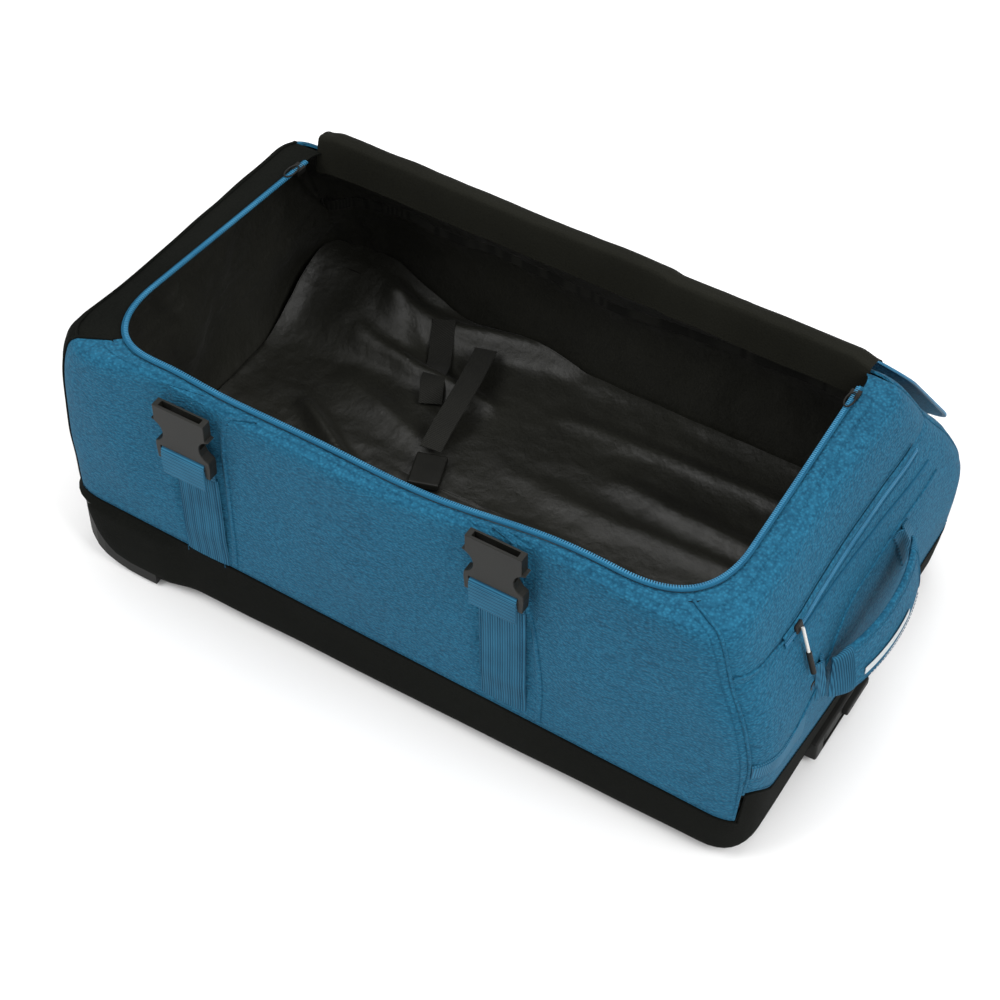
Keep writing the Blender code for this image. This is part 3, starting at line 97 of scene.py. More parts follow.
FRONT, FRONT_RIGHT, RIGHT, REAR_RIGHT, REAR, REAR_LEFT, LEFT, FRONT_LEFT = range(8)
ROUND = 8
FRONT_SEAMS = (FRONT_LEFT + 0.55, ROUND + FRONT_RIGHT + 0.45)
REAR_SEAMS = (REAR_RIGHT + 0.5, REAR_LEFT + 0.5)

# The front edge stands up by each buckle and sags between them. Heights, shifts along the
# edge and widths were fitted to the photograph, not worked out from the frame.
CREST_LEFT, CREST_RIGHT, CREST_SAG = 0.008, 0.013, -0.007
CREST_LEFT_SHIFT, CREST_RIGHT_SHIFT, CREST_SAG_SHIFT = -0.04, 0.06, 0.06
CREST_LEFT_WIDE, CREST_RIGHT_WIDE, CREST_SAG_WIDE = 0.05, 0.10, 0.09

SHELL_THICK, TRAY_THICK, LINING_THICK = 0.0024, 0.0022, 0.0009


def smoothstep(value, low, high):
    """0 below low, 1 above high, and smooth between."""
    share = min(1.0, max(0.0, (value - low) / (high - low)))
    return share * share * (3 - 2 * share)


def bump(distance, width):
    """A soft bell, 1 at no distance."""
    return math.exp(-(distance / width) ** 2)


def curve_between(before, start, end, after, share):
    """The value or point at a share from start to end, on a smooth curve through all four."""
    return 0.5 * (2 * start + (end - before) * share
                  + (2 * before - 5 * start + 4 * end - after) * share ** 2
                  + (3 * start - before - 3 * end + after) * share ** 3)


def level_row(level):
    """The LEVELS row at a level number, on a smooth curve through the rows."""
    last = len(LEVELS) - 1
    lower = min(int(level), last - 1)
    share = level - lower
    rows = [LEVELS[min(max(lower + shift, 0), last)] for shift in (-1, 0, 1, 2)]
    return [curve_between(*four, share) for four in zip(*rows)]


def skin_point(place, level):
    """A point of the bag's plain outer surface; place counts sides and corners round it."""
    z_left, z_right, xl_front, xl_rear, xr_front, xr_rear, y_front, y_rear, r_front, r_rear = level_row(level)
    corners = ((Vector((xl_front, y_front, z_left)), r_front),
               (Vector((xr_front, y_front, z_right)), r_front),
               (Vector((xr_rear, y_rear, z_right)), r_rear),
               (Vector((xl_rear, y_rear, z_left)), r_rear))
    place = place % ROUND
    side = int(place)
    share = place - side
    start, start_radius = corners[side // 2]
    end, end_radius = corners[(side // 2 + 1) % 4]
    along = (end - start).normalized()
    if side % 2 == 0:
        return (start + along * start_radius).lerp(end - along * end_radius, share)
    onward = (corners[(side // 2 + 2) % 4][0] - end).normalized()
    leave, arrive = end - along * end_radius, end + onward * end_radius
    return leave.lerp(end, share).lerp(end.lerp(arrive, share), share)


def skin_normal(place, level):
    """The outward direction of the plain skin."""
    step, top = 0.02, len(LEVELS) - 1
    around = skin_point(place + step, level) - skin_point(place - step, level)
    upward = skin_point(place, min(level + step, top)) - skin_point(place, max(level - step, 0))
    return around.cross(upward).normalized()


def crest_rise(point, level):
    """How far the front top edge waves above or below its plain line."""
    front = smoothstep(-point.y, 0.02, 0.19)
    left, right = BUCKLE_X["left"] + CREST_LEFT_SHIFT, BUCKLE_X["right"] + CREST_RIGHT_SHIFT
    middle = (left + right) / 2 + CREST_SAG_SHIFT
    rise = CREST_LEFT * bump(point.x - left, CREST_LEFT_WIDE)
    rise += CREST_RIGHT * bump(point.x - right, CREST_RIGHT_WIDE)
    rise += CREST_SAG * bump(point.x - middle, CREST_SAG_WIDE)
    return rise * front * smoothstep(level, 5.8, 8.4)


def tray_rise(place, level):
    """The tray's edge climbs towards the front corner of the handle end."""
    past_seam = (place % ROUND) - (FRONT_SEAMS[1] - ROUND)
    if not 0 <= past_seam < 2:
        return 0.0
    return 0.044 * (1 - smoothstep(past_seam, 0.1, 1.05)) * bump(level - TRAY_TOP, 0.85)


def guard_bulge(point, level):
    """The tray's cloth stands out over the face of each wheel housing."""
    at_end = smoothstep(-point.x, 0.235, 0.278)
    at_side = smoothstep(abs(point.y), 0.150, 0.205)
    return 0.0062 * at_end * at_side * smoothstep(level, 0.2, 1.0) * (1 - smoothstep(level, 2.80, 3.02))


def swell(point, level):
    """How far the cloth stands out from the plain skin; negative is inwards."""
    loose = smoothstep(level, 3.0, 4.6) * (1 - smoothstep(level, 7.6, 9.0))
    out = noise.noise(point * 6.5) * 0.0042 + noise.noise(point * 17.0) * 0.0016
    if point.y < -0.20:
        near = sum(bump(point.x - x, 0.050) for x in BUCKLE_X.values())
        middle = bump(point.x + 0.045, 0.085) + bump(point.x - 0.245, 0.060) + bump(point.x + 0.310, 0.040)
        out = (out + 0.0050 * middle) * (1 - min(1.0, near)) - 0.0012 * near
        for x in BUCKLE_X.values():
            for edge in (-0.027, 0.029):
                out -= 0.0026 * bump(point.x - x - edge, 0.0036)
    return out * loose


def surface(place, level, lift=0.0):
    """A point of the bag's soft outer surface, or lifted off it."""
    point = skin_point(place, level)
    out = swell(point, level) + lift
    rise = crest_rise(point, level) + tray_rise(place, level)
    return point + skin_normal(place, level) * out + Vector((0.0, 0.0, rise))


# ---------------------------------------------------------------- mesh helpers

def places_between(start, end, step):
    """Place numbers from start to end, about one step apart on the middle level."""
    places = [start]
    side = math.floor(start)
    while side < end:
        low, high = max(side, start), min(side + 1, end)
        length = (skin_point(high - 1e-4, 5) - skin_point(low + 1e-4, 5)).length
        count = max(2, round(length / step))
        places += [low + (high - low) * (index + 1) / count for index in range(count)]
        side += 1
    return places


def levels_between(start, end, step):
    """Level numbers from start to end, about one step apart on the front."""
    levels = [start]
    row = math.floor(start)
    while row < end:
        low, high = max(row, start), min(row + 1, end)
        length = (skin_point(FRONT + 0.5, high) - skin_point(FRONT + 0.5, low)).length
        count = max(1, round(length / step))
        levels += [low + (high - low) * (index + 1) / count for index in range(count)]
        row += 1
    return levels


def grid_normals(grid, closed=False):
    """Unit normals of a grid of points, outwards when columns run round and rows run up."""
    if closed:
        along = np.roll(grid, -1, axis=1) - np.roll(grid, 1, axis=1)
    else:
        along = np.gradient(grid, axis=1)
    across = np.gradient(grid, axis=0)
    normals = np.cross(along, across)
    return normals / np.maximum(np.linalg.norm(normals, axis=2, keepdims=True), 1e-12)


def strip_faces(rows, columns, closed, base=0, flip=False):
    """Quads of a grid."""
    faces = []
    for row in range(rows - 1):
        for column in range(columns if closed else columns - 1):
            ahead = (column + 1) % columns
            quad = (base + row * columns + column, base + row * columns + ahead,
                    base + (row + 1) * columns + ahead, base + (row + 1) * columns + column)
            faces.append(tuple(reversed(quad)) if flip else quad)
    return faces


def thick_sheet(grid, thickness, closed=False):
    """A closed solid from a grid of outer points and its copy set in by the thickness."""
    grid = np.array(grid, float)
    rows, columns = grid.shape[:2]
    inner = grid - grid_normals(grid, closed) * thickness
    verts = np.concatenate([grid.reshape(-1, 3), inner.reshape(-1, 3)])
    count = rows * columns
    faces = strip_faces(rows, columns, closed) + strip_faces(rows, columns, closed, count, flip=True)
    border = [[(0, c) for c in range(columns)], [(rows - 1, c) for c in reversed(range(columns))]]
    if closed:
        border[0].append((0, 0))
        border[1].insert(0, (rows - 1, 0))
    else:
        border.append([(r, 0) for r in reversed(range(rows))])
        border.append([(r, columns - 1) for r in range(rows)])
    for line in border:
        for (r1, c1), (r2, c2) in zip(line, line[1:]):
            a, b = r1 * columns + c1, r2 * columns + c2
            faces.append((b, a, a + count, b + count))
    return verts, faces


def tube(points, section, up=Vector((0, 0, 1)), closed=False):
    """A section of (across, up) offsets swept along points; section may be a function of the share along."""
    points = [Vector(point) for point in points]
    count = len(points)
    rings = []
    for index, point in enumerate(points):
        if closed:
            along = points[(index + 1) % count] - points[index - 1]
        else:
            along = points[min(index + 1, count - 1)] - points[max(index - 1, 0)]
        along.normalize()
        rise = up(index / (count - 1)) if callable(up) else up
        across = along.cross(rise).normalized()
        rise = across.cross(along)
        shape = section(index / (count - 1)) if callable(section) else section
        rings.append([point + across * a + rise * b for a, b in shape])
    width = len(rings[0])
    verts = np.array([tuple(vertex) for ring in rings for vertex in ring])
    if closed:
        faces = strip_faces(count, width, True) + [
            ((count - 1) * width + i, (count - 1) * width + (i + 1) % width, (i + 1) % width, i)
            for i in range(width)]
    else:
        faces = strip_faces(count, width, True)
        faces += [tuple(reversed(range(width))), tuple(range((count - 1) * width, count * width))]
    return verts, faces


def round_section(radius, sides=10):
    """A circle."""
    return [(radius * math.cos(math.tau * n / sides), radius * math.sin(math.tau * n / sides))
            for n in range(sides)]


def strap_section(width, thick, rounding=0.0005):
    """A flat strap's section with softened edges."""
    a, b = width / 2, thick / 2
    r = min(rounding, b)
    return [(-a + r, -b), (a - r, -b), (a, -b + r), (a, b - r),
            (a - r, b), (-a + r, b), (-a, b - r), (-a, -b + r)]


def smooth_path(points, spacing):
    """Points an even spacing apart on a smooth curve through the given ones."""
    points = [Vector(point) for point in points]
    ends = [points[0] * 2 - points[1], *points, points[-1] * 2 - points[-2]]
    dense = []
    for four in zip(ends, ends[1:], ends[2:], ends[3:]):
        dense += [curve_between(*four, step / 20) for step in range(20)]
    dense.append(points[-1])
    return even_path(dense, spacing)


def even_path(points, spacing):
    """Points an even spacing apart along a line of points."""
    line = np.array([tuple(point) for point in points])
    lengths = np.concatenate([[0], np.cumsum(np.linalg.norm(np.diff(line, axis=0), axis=1))])
    count = max(2, round(lengths[-1] / spacing) + 1)
    wanted = np.linspace(0, lengths[-1], count)
    return [Vector([np.interp(s, lengths, line[:, axis]) for axis in range(3)]) for s in wanted]


def joined(parts):
    """Several (verts, faces) as one."""
    verts, faces, base = [], [], 0
    for part_verts, part_faces in parts:
        verts.append(np.asarray(part_verts, float).reshape(-1, 3))
        faces += [tuple(base + index for index in face) for face in part_faces]
        base += len(part_verts)
    return np.concatenate(verts), faces


def little_block(centre, along, across, size, taper=0.75):
    """A small block with a narrowed top; size is along, across and tall."""
    upward = along.cross(across).normalized()
    verts, a, b = [], size[0] / 2, size[1] / 2
    for height, share in ((-0.5, 1.0), (0.15, 1.0), (0.5, taper)):
        for i, j in ((-1, -1), (1, -1), (1, 1), (-1, 1)):
            verts.append(centre + along * (i * a * share) + across * (j * b * share)
                         + upward * (height * size[2]))
    faces = [(3, 2, 1, 0), (8, 9, 10, 11)]
    for level in (0, 4):
        faces += [(level + i, level + (i + 1) % 4, level + 4 + (i + 1) % 4, level + 4 + i) for i in range(4)]
    return [tuple(vertex) for vertex in verts], faces


# ---------------------------------------------------------------- materials

class Nodes:
    """A short way to write a node tree."""

    def __init__(self, name):
        self.material = bpy.data.materials.new(name)
        self.material.use_nodes = True
        self.tree = self.material.node_tree
        self.shader = self.tree.nodes["Principled BSDF"]
        self.place = self.add("ShaderNodeTexCoord").outputs["Object"]

    def add(self, kind, inputs=(), **settings):
        made = self.tree.nodes.new(kind)
        for key, value in settings.items():
            setattr(made, key, value)
        for key, value in dict(inputs).items():
            if isinstance(value, bpy.types.NodeSocket):
                self.tree.links.new(value, made.inputs[key])
            else:
                made.inputs[key].default_value = value
        return made

    def stretched(self, scale):
        """The object's own coordinates, scaled on each axis."""
        return self.add("ShaderNodeMapping", {"Vector": self.place, "Scale": scale}).outputs["Vector"]

    def noise(self, scale, detail=3.0, stretch=(1, 1, 1)):
        return self.add("ShaderNodeTexNoise", {"Vector": self.stretched(stretch), "Scale": scale,
                                               "Detail": detail}).outputs["Fac"]

    def cells(self, scale, stretch=(1, 1, 1)):
        return self.add("ShaderNodeTexVoronoi", {"Vector": self.stretched(stretch), "Scale": scale},
                        feature="F1").outputs["Distance"]

    def bands(self, period, axis):
        """Waves across an axis, a period apart in metres."""
        scale = math.tau / (20 * period)
        return self.add("ShaderNodeTexWave", {"Vector": self.place, "Scale": scale}, wave_type="BANDS",
                        bands_direction=axis, wave_profile="SIN").outputs["Fac"]

    def ramp(self, value, low, high, start=0.35, end=0.65):
        made = self.add("ShaderNodeValToRGB", {"Fac": value})
        made.color_ramp.elements[0].position, made.color_ramp.elements[1].position = start, end
        made.color_ramp.elements[0].color = (*low, 1)
        made.color_ramp.elements[1].color = (*high, 1)
        return made.outputs["Color"]

    def blended(self, first, second, share):
        made = self.add("ShaderNodeMix", data_type="RGBA")
        for key, value in (("A", first), ("B", second)):
            self.tree.links.new(value, next(s for s in made.inputs if s.name == key and s.type == "RGBA"))
        factor = made.inputs[0]
        if isinstance(share, bpy.types.NodeSocket):
            self.tree.links.new(share, factor)
        else:
            factor.default_value = share
        return next(s for s in made.outputs if s.type == "RGBA")

    def sum_of(self, *weighted):
        """A weighted sum of values."""
        total = None
        for value, weight in weighted:
            scaled = self.add("ShaderNodeMath", {0: value, 1: weight}, operation="MULTIPLY").outputs[0]
            total = scaled if total is None else self.add("ShaderNodeMath", {0: total, 1: scaled},
                                                          operation="ADD").outputs[0]
        return total

    def ranged(self, value, low, high):
        made = self.add("ShaderNodeMapRange", {"Value": value, "To Min": low, "To Max": high})
        return made.outputs["Result"]

    def finish(self, colour, roughness, height=None, depth=0.0003, strength=1.0, sheen=0.0, metallic=0.0,
               specular=0.5):
        sockets = self.shader.inputs
        for key, value in (("Base Color", colour), ("Roughness", roughness)):
            if isinstance(value, bpy.types.NodeSocket):
                self.tree.links.new(value, sockets[key])
            elif key == "Base Color":
                sockets[key].default_value = (*value, 1)
            else:
                sockets[key].default_value = value
        sockets["Metallic"].default_value = metallic
        sockets["Specular IOR Level"].default_value = specular
        sockets["Sheen Weight"].default_value = sheen
        sockets["Sheen Roughness"].default_value = 0.45
        if height is not None:
            rough = self.add("ShaderNodeBump", {"Height": height, "Distance": depth, "Strength": strength})
            self.tree.links.new(rough.outputs["Normal"], sockets["Normal"])
        return self.material


BLUE_DARK, BLUE_MID, BLUE_LIGHT = (0.0036, 0.047, 0.092), (0.0085, 0.088, 0.161), (0.0200, 0.158, 0.270)
ZIP_BLUE = (0.0160, 0.125, 0.230)
LINING_DARK, LINING_LIGHT = (0.0080, 0.0080, 0.0058), (0.0155, 0.0155, 0.0115)


def blue_cloth():
    """Heathered polyester with a pebbled weave and faint broken crossways threads."""
    look = Nodes("blue_cloth")
    pebbles = look.cells(300, (1.0, 1.0, 1.6))
    threads = look.noise(170, 3.0, (1.0, 1.0, 3.6))
    fine = look.noise(1400, 1.0)
    mottle = look.noise(5, 3.0)
    # Painted shade and light: the colour is darker in the pebbles' hollows and lighter on the raised threads,
    # where the bump below sinks and lifts them; the mottle is the cloth's own uneven tone.
    colour = look.blended(look.ramp(threads, BLUE_DARK, BLUE_LIGHT, 0.34, 0.66),
                          look.ramp(pebbles, BLUE_LIGHT, BLUE_DARK, 0.10, 0.60), 0.55)
    colour = look.blended(colour, look.ramp(mottle, BLUE_DARK, BLUE_MID, 0.30, 0.70), 0.28)
    height = look.sum_of((pebbles, -0.9), (threads, 0.35), (fine, 0.2))
    return look.finish(colour, look.ranged(mottle, 0.78, 0.90), height, 0.0013, 0.95, sheen=0.02,
                       specular=0.14)


def webbing(name, low, high, axis, period=0.0021):
    """Webbing with ribs across the given axis and a twill between them."""
    look = Nodes(name)
    ribs = look.bands(period, axis)
    fine = look.noise(1500, 1.0)
    mottle = look.noise(30, 2.0)
    # Painted shade: the rib pattern that raises the bump also colours it, darker in the grooves between ribs and
    # lighter on their crests; the mottle is the webbing's own uneven tone.
    colour = look.blended(look.ramp(ribs, low, high, 0.15, 0.80),
                          look.ramp(mottle, low, high, 0.3, 0.7), 0.25)
    height = look.sum_of((ribs, 0.8), (fine, 0.25))
    return look.finish(colour, 0.78, height, 0.0005, 0.8, sheen=0.02, specular=0.18)


def plain_cloth(name, low, high, scale, roughness, depth=0.0004, specular=0.05):
    """A close plain weave with a slow change of tone."""
    look = Nodes(name)
    weave = look.cells(scale)
    mottle = look.noise(9, 4.0)
    # Painted shade: each weave cell is coloured darker towards its edge, where the bump below sinks it; the mottle
    # is a slow change of the cloth's own tone.
    colour = look.blended(look.ramp(mottle, low, high, 0.3, 0.7), look.ramp(weave, high, low, 0.1, 0.8), 0.4)
    height = look.sum_of((weave, -0.6), (look.noise(scale * 2.6, 1.0), 0.3))
    return look.finish(colour, look.ranged(mottle, roughness - 0.05, roughness + 0.05), height, depth, 0.7,
                       specular=specular)


def lining_cloth():
    """Thin satin lining, nearly black, with crinkles and a soft gloss."""
    look = Nodes("lining_cloth")
    crinkle = look.noise(38, 5.0, (1.0, 1.0, 0.7))
    weave = look.noise(1800, 1.0)
    mottle = look.noise(7, 3.0)
    colour = look.ramp(mottle, LINING_DARK, LINING_LIGHT, 0.3, 0.7)
    height = look.sum_of((crinkle, 1.0), (weave, 0.05))
    return look.finish(colour, look.ranged(crinkle, 0.42, 0.56), height, 0.0045, 0.75, sheen=0.02,
                       specular=0.45)


def plastic(name, low, high, roughness, grain=900):
    """Moulded plastic with a fine grain and slightly duller patches."""
    look = Nodes(name)
    speck = look.noise(grain, 2.0)
    wear = look.noise(28, 4.0)
    colour = look.ramp(wear, low, high, 0.35, 0.75)
    return look.finish(colour, look.ranged(wear, roughness - 0.05, roughness + 0.09), speck, 0.00012, 0.6,
                       specular=0.22)


def metal(name, colour, roughness):
    """Drawn metal with faint lines along it."""
    look = Nodes(name)
    lines = look.noise(60, 3.0, (0.6, 30, 30))
    return look.finish(colour, look.ranged(lines, roughness - 0.07, roughness + 0.10), lines, 0.00005, 0.5,
                       metallic=1.0)


def make_looks():
    """Every material by its record slot or purpose."""
    blue_rib = (0.0035, 0.040, 0.080), (0.0220, 0.135, 0.230)
    black_rib = (0.008, 0.008, 0.007), (0.019, 0.019, 0.016)
    return {
        "blue_cloth": blue_cloth(),
        "webbing_z": webbing("blue_webbing_z", *blue_rib, "Z"),
        "webbing_y": webbing("blue_webbing_y", *blue_rib, "Y"),
        "webbing_x": webbing("blue_webbing_x", *blue_rib, "X", 0.0026),
        "zip_tape": plain_cloth("zip_tape", (0.0150, 0.105, 0.190), ZIP_BLUE, 1100, 0.70),
        "zip_teeth": plastic("zip_teeth", (0.0220, 0.130, 0.235), (0.0420, 0.190, 0.320), 0.45),
        "thread_blue": plain_cloth("thread_blue", (0.0080, 0.060, 0.115), (0.0150, 0.090, 0.160), 2400, 0.70),
        "black_cloth": plain_cloth("black_cloth", (0.0030, 0.0034, 0.0028), (0.0065, 0.0070, 0.0058),
                                   420, 0.90, 0.0006),
        "fold_cloth": plain_cloth("fold_cloth", (0.0070, 0.0070, 0.0052), (0.0125, 0.0125, 0.0095),
                                  600, 0.80, 0.0006),
        "lining_cloth": lining_cloth(),
        "black_webbing": webbing("black_webbing", *black_rib, "Y", 0.0019),
        "floor_board": plastic("floor_board", (0.010, 0.010, 0.010), (0.016, 0.016, 0.016), 0.65),
        "black_plastic": plastic("black_plastic", (0.0040, 0.0040, 0.0034), (0.0075, 0.0075, 0.0064), 0.55),
        "bezel_plastic": plastic("bezel_plastic", (0.005, 0.005, 0.0045), (0.009, 0.009, 0.008), 0.55),
        "buckle_plastic": plastic("buckle_plastic", (0.0065, 0.0065, 0.0052), (0.012, 0.012, 0.010), 0.50),
        "tyre_rubber": plastic("tyre_rubber", (0.012, 0.012, 0.012), (0.020, 0.020, 0.019), 0.75, 500),
        "aluminium": metal("aluminium", (0.62, 0.63, 0.64), 0.30),
        "steel": metal("steel", (0.50, 0.50, 0.50), 0.28),
        "white_cord": webbing("white_cord", (0.42, 0.42, 0.40), (0.72, 0.72, 0.70), "Z", 0.0016),
        "reflective": plain_cloth("reflective", (0.36, 0.39, 0.40), (0.50, 0.53, 0.54), 1300, 0.42,
                                  specular=0.6),
    }


# ---------------------------------------------------------------- making pieces

def piece(name, shape, look, body, replaces=(), sharp=40, turned=None):
    """An object of the bag from (verts, faces) in the bag's own axes."""
    verts, faces = shape
    verts = np.asarray(verts, float)
    if turned is not None:
        verts = verts @ np.array(turned.to_3x3()).T + np.array(turned.translation)
    mesh = bpy.data.meshes.new(name)
    mesh.from_pydata((verts + np.array(BAG_ORIGIN)).tolist(), [], faces)
    cleaned = bmesh.new()
    cleaned.from_mesh(mesh)
    bmesh.ops.recalc_face_normals(cleaned, faces=cleaned.faces)
    cleaned.to_mesh(mesh)
    cleaned.free()
    mesh.materials.append(look)
    mesh.shade_smooth()
    mesh.set_sharp_from_angle(angle=math.radians(sharp))
    made = bpy.data.objects.new(name, mesh)
    bpy.context.scene.collection.objects.link(made)
    if replaces:
        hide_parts(*replaces)
    if body is not None:
        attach(made, body)
    return made


def panel_grid(start, end, low, high, step=0.0055, tuck=0.0018):
    """A grid on the soft surface whose edges tuck in to a seam."""
    places, levels = places_between(start, end, step), levels_between(low, high, step)
    grid = np.array([[tuple(surface(place, level)) for place in places] for level in levels])
    rows, columns = grid.shape[:2]
    row_edge = np.minimum(np.arange(rows), np.arange(rows)[::-1])[:, None] * step
    column_edge = np.minimum(np.arange(columns), np.arange(columns)[::-1])[None, :] * step
    edge = np.minimum(row_edge, column_edge)
    return grid - grid_normals(grid) * (tuck * np.exp(-(edge / 0.0045) ** 2))[..., None]


def panel(name, start, end, low, high, look, replaces):
    """One sewn panel of the bag's shell."""
    sheet = thick_sheet(panel_grid(start, end, low, high), SHELL_THICK)
    return piece(name, sheet, look, "bag", replaces)


def skin_line(places, levels, lift=0.0):
    """A line on the soft surface, from matching places and levels."""
    return [surface(place, level, lift) for place, level in zip(places, levels)]


def level_line(start, end, level, lift=0.0, step=0.004):
    """A line round the bag at one level."""
    places = places_between(start, end, step)
    return skin_line(places, [level] * len(places), lift)


def place_line(place, low, high, lift=0.0, step=0.004):
    """A line up the bag at one place."""
    levels = levels_between(low, high, step)
    return skin_line([place] * len(levels), levels, lift)


def outward_along(line):
    """The outward direction from the bag's middle at each share of a line."""
    def direction(share):
        point = line[round(share * (len(line) - 1))]
        return Vector((point.x * 0.4, point.y, 0.0)).normalized()
    return direction


def stitch_run(line, length=0.0030, gap=0.0014, radius=0.00035):
    """Sewing thread along a line, as a row of short raised stitches."""
    parts = []
    points = even_path(line, length + gap)
    for start, end in zip(points, points[1:]):
        finish_at = start.lerp(end, length / (length + gap))
        up = Vector((0, 0, 1)) if abs((end - start).normalized().z) < 0.9 else Vector((1, 0, 0))
        parts.append(tube([start, start.lerp(finish_at, 0.5), finish_at], round_section(radius, 6), up))
    return joined(parts)


# ---------------------------------------------------------------- shell

def applied_cuts(made, boxes):
    """Cut boxes out of a piece and keep the result as its mesh."""
    cutters = []
    for low, high in boxes:
        cutter_bm = bmesh.new()
        verts = bmesh.ops.create_cube(cutter_bm, size=1.0)["verts"]
        bmesh.ops.scale(cutter_bm, verts=verts, vec=high - low)
        bmesh.ops.translate(cutter_bm, verts=verts, vec=(low + high) / 2 + BAG_ORIGIN)
        mesh = bpy.data.meshes.new("cutter")
        cutter_bm.to_mesh(mesh)
        cutter_bm.free()
        cutter = bpy.data.objects.new("cutter", mesh)
        bpy.context.scene.collection.objects.link(cutter)
        cut = made.modifiers.new("cut", "BOOLEAN")
        cut.operation, cut.solver, cut.object = "DIFFERENCE", "EXACT", cutter
        cutters.append(cutter)
    bpy.context.view_layer.update()
    result = bpy.data.meshes.new_from_object(made.evaluated_get(bpy.context.evaluated_depsgraph_get()))
    made.modifiers.clear()
    made.data = result
    for cutter in cutters:
        bpy.data.objects.remove(cutter, do_unlink=True)


def closed_foot(faces, columns, count):
    """A thick sheet's faces with its first row's rim taken out, and both copies of that row capped."""
    kept = [face for face in faces
            if not all(i < columns or count <= i < count + columns for i in face)]
    return kept + [tuple(reversed(range(columns))), tuple(range(count, count + columns))]


def make_tray(looks):
    """The black cloth tray, cut round the wheel housings and the trolley bezel."""
    places = places_between(0, ROUND, 0.008)[:-1]
    levels = levels_between(0.0, 2.97, 0.006)
    grid = []
    for level in levels:
        row = []
        for place in places:
            point = skin_point(place, level)
            ripple = noise.noise(point * 12) * 0.0008
            row.append(tuple(surface(place, level, ripple + guard_bulge(point, level))))
        grid.append(row)
    verts, faces = thick_sheet(grid, TRAY_THICK, closed=True)
    columns, count = len(places), len(levels) * len(places)
    floor_thick = 0.0030
    verts[count:count + columns, 2] = verts[:columns, 2] + floor_thick
    tray = piece("tray_shell", (verts, closed_foot(faces, columns, count)), looks["black_cloth"], "bag",
                 ["base_tray"])
    room = Vector((0.0008, 0.0008, 0.0008))
    boxes = []
    for side in ("near", "far"):
        low, high = cad_box(f"wheel_housing_{side}")
        low, high = low - room, high + room
        beyond = 0.03
        boxes.append((Vector((low.x - beyond, low.y, low.z - beyond)), high))
    low, high = cad_box("trolley_bezel")
    boxes.append((low - room, Vector((high.x + 0.03, high.y + room.y, high.z + room.z))))
    applied_cuts(tray, boxes)


BAND_START = 0.52               # the zip's band covers this share of the skin's last level and on to its edge


WELT_PROFILE = ((-1, -0.0004), (-0.8, 0.0012), (0, 0.0019), (0.8, 0.0012), (1, -0.0004))


def make_seam_welts(looks):
    """A narrow folded band sewn beside each strip of webbing, from the tray to the zip."""
    for side, x in BUCKLE_X.items():
        span = skin_point(FRONT + 0.999, 5).x - skin_point(FRONT, 5).x
        middle = (x + 0.0335 - skin_point(FRONT, 5).x) / span
        levels = levels_between(3.15, 8.8, 0.005)
        half = 0.0032 / span
        grid = []
        for level in levels:
            wander = noise.noise(Vector((x * 9, level * 0.9, 0.0))) * 0.0030 / span
            grid.append([tuple(surface(FRONT + middle + wander + half * edge, level, lift))
                         for edge, lift in WELT_PROFILE])
        piece(f"seam_welt_{side}", thick_sheet(np.array(grid), 0.0006), looks["blue_cloth"], "bag")


def make_shell(looks):
    """The sewn panels above the tray, with the bound seams between them."""
    front_start, front_end = FRONT_SEAMS
    rear_start, rear_end = REAR_SEAMS
    blue, black = looks["blue_cloth"], looks["black_cloth"]
    top = ZIP_LINE + BAND_START
    panel("front_shell", front_start, front_end, TRAY_TOP, top, blue, ["front_panel"])
    panel("handle_end_shell", front_end, rear_start + ROUND, TRAY_TOP, POCKET_SEAM, blue,
          ["handle_end_panel"])
    panel("handle_end_top_shell", front_end, rear_start + ROUND, POCKET_SEAM, top, blue,
          ["handle_end_top"])
    panel("rear_shell", rear_start, rear_end, TRAY_TOP, TOP_EDGE, blue, ["rear_panel"])
    panel("wheel_end_shell", rear_end, front_start, TRAY_TOP, TOP_EDGE, black,
          ["wheel_end_panel"])
    panel("wheel_end_top_shell", rear_end, front_start, TOP_EDGE, top, black,
          ["wheel_end_top"])


def make_piping(looks):
    """Piped corner seams, the tray's seam and the stitching beside them."""
    front_start, front_end = FRONT_SEAMS
    rear_start, rear_end = REAR_SEAMS
    for name, place, high, cloth in (("front_right", front_end, ZIP_LINE, "blue_cloth"),
                                     ("front_left", front_start, ZIP_LINE, "black_cloth"),
                                     ("rear_right", rear_start + ROUND, TOP_EDGE, "blue_cloth"),
                                     ("rear_left", rear_end, TOP_EDGE, "black_cloth")):
        line = place_line(place, TRAY_TOP, high, -0.0012)
        piping = tube(line, round_section(0.0017), outward_along(line))
        piece(f"piping_{name}", piping, looks[cloth], "bag")
    line = level_line(0, ROUND, 2.98, -0.0010)
    piece("tray_seam", tube(line[:-1], round_section(0.0016), outward_along(line[:-1]), closed=True),
          looks["black_cloth"], "bag")
    wheel_top = level_line(rear_end, front_start, TOP_EDGE, -0.0010)
    piece("wheel_top_seam", tube(wheel_top, round_section(0.0015), outward_along(wheel_top)),
          looks["black_cloth"], "bag")
    runs = [level_line(front_start + 0.1, front_end - 0.1, 3.09, 0.0002),
            level_line(front_start + 0.1, front_end - 0.1, 8.62, 0.0003),
            place_line(front_end - 0.12, 3.2, 8.4, 0.0002),
            level_line(front_end + 0.1, ROUND + REAR_RIGHT + 0.3, 3.12, 0.0002),
            level_line(front_end + 0.1, ROUND + RIGHT + 0.95, 8.62, 0.0003),
            level_line(REAR_RIGHT + 0.6, REAR_LEFT + 0.4, 3.09, 0.0002)]
    piece("shell_stitching", joined([stitch_run(run) for run in runs]), looks["thread_blue"], "bag")


# ---------------------------------------------------------------- lining

FLOOR_Z = 0.0400
HOUSING_LOW, HOUSING_HIGH = cad_box("wheel_housing_far")


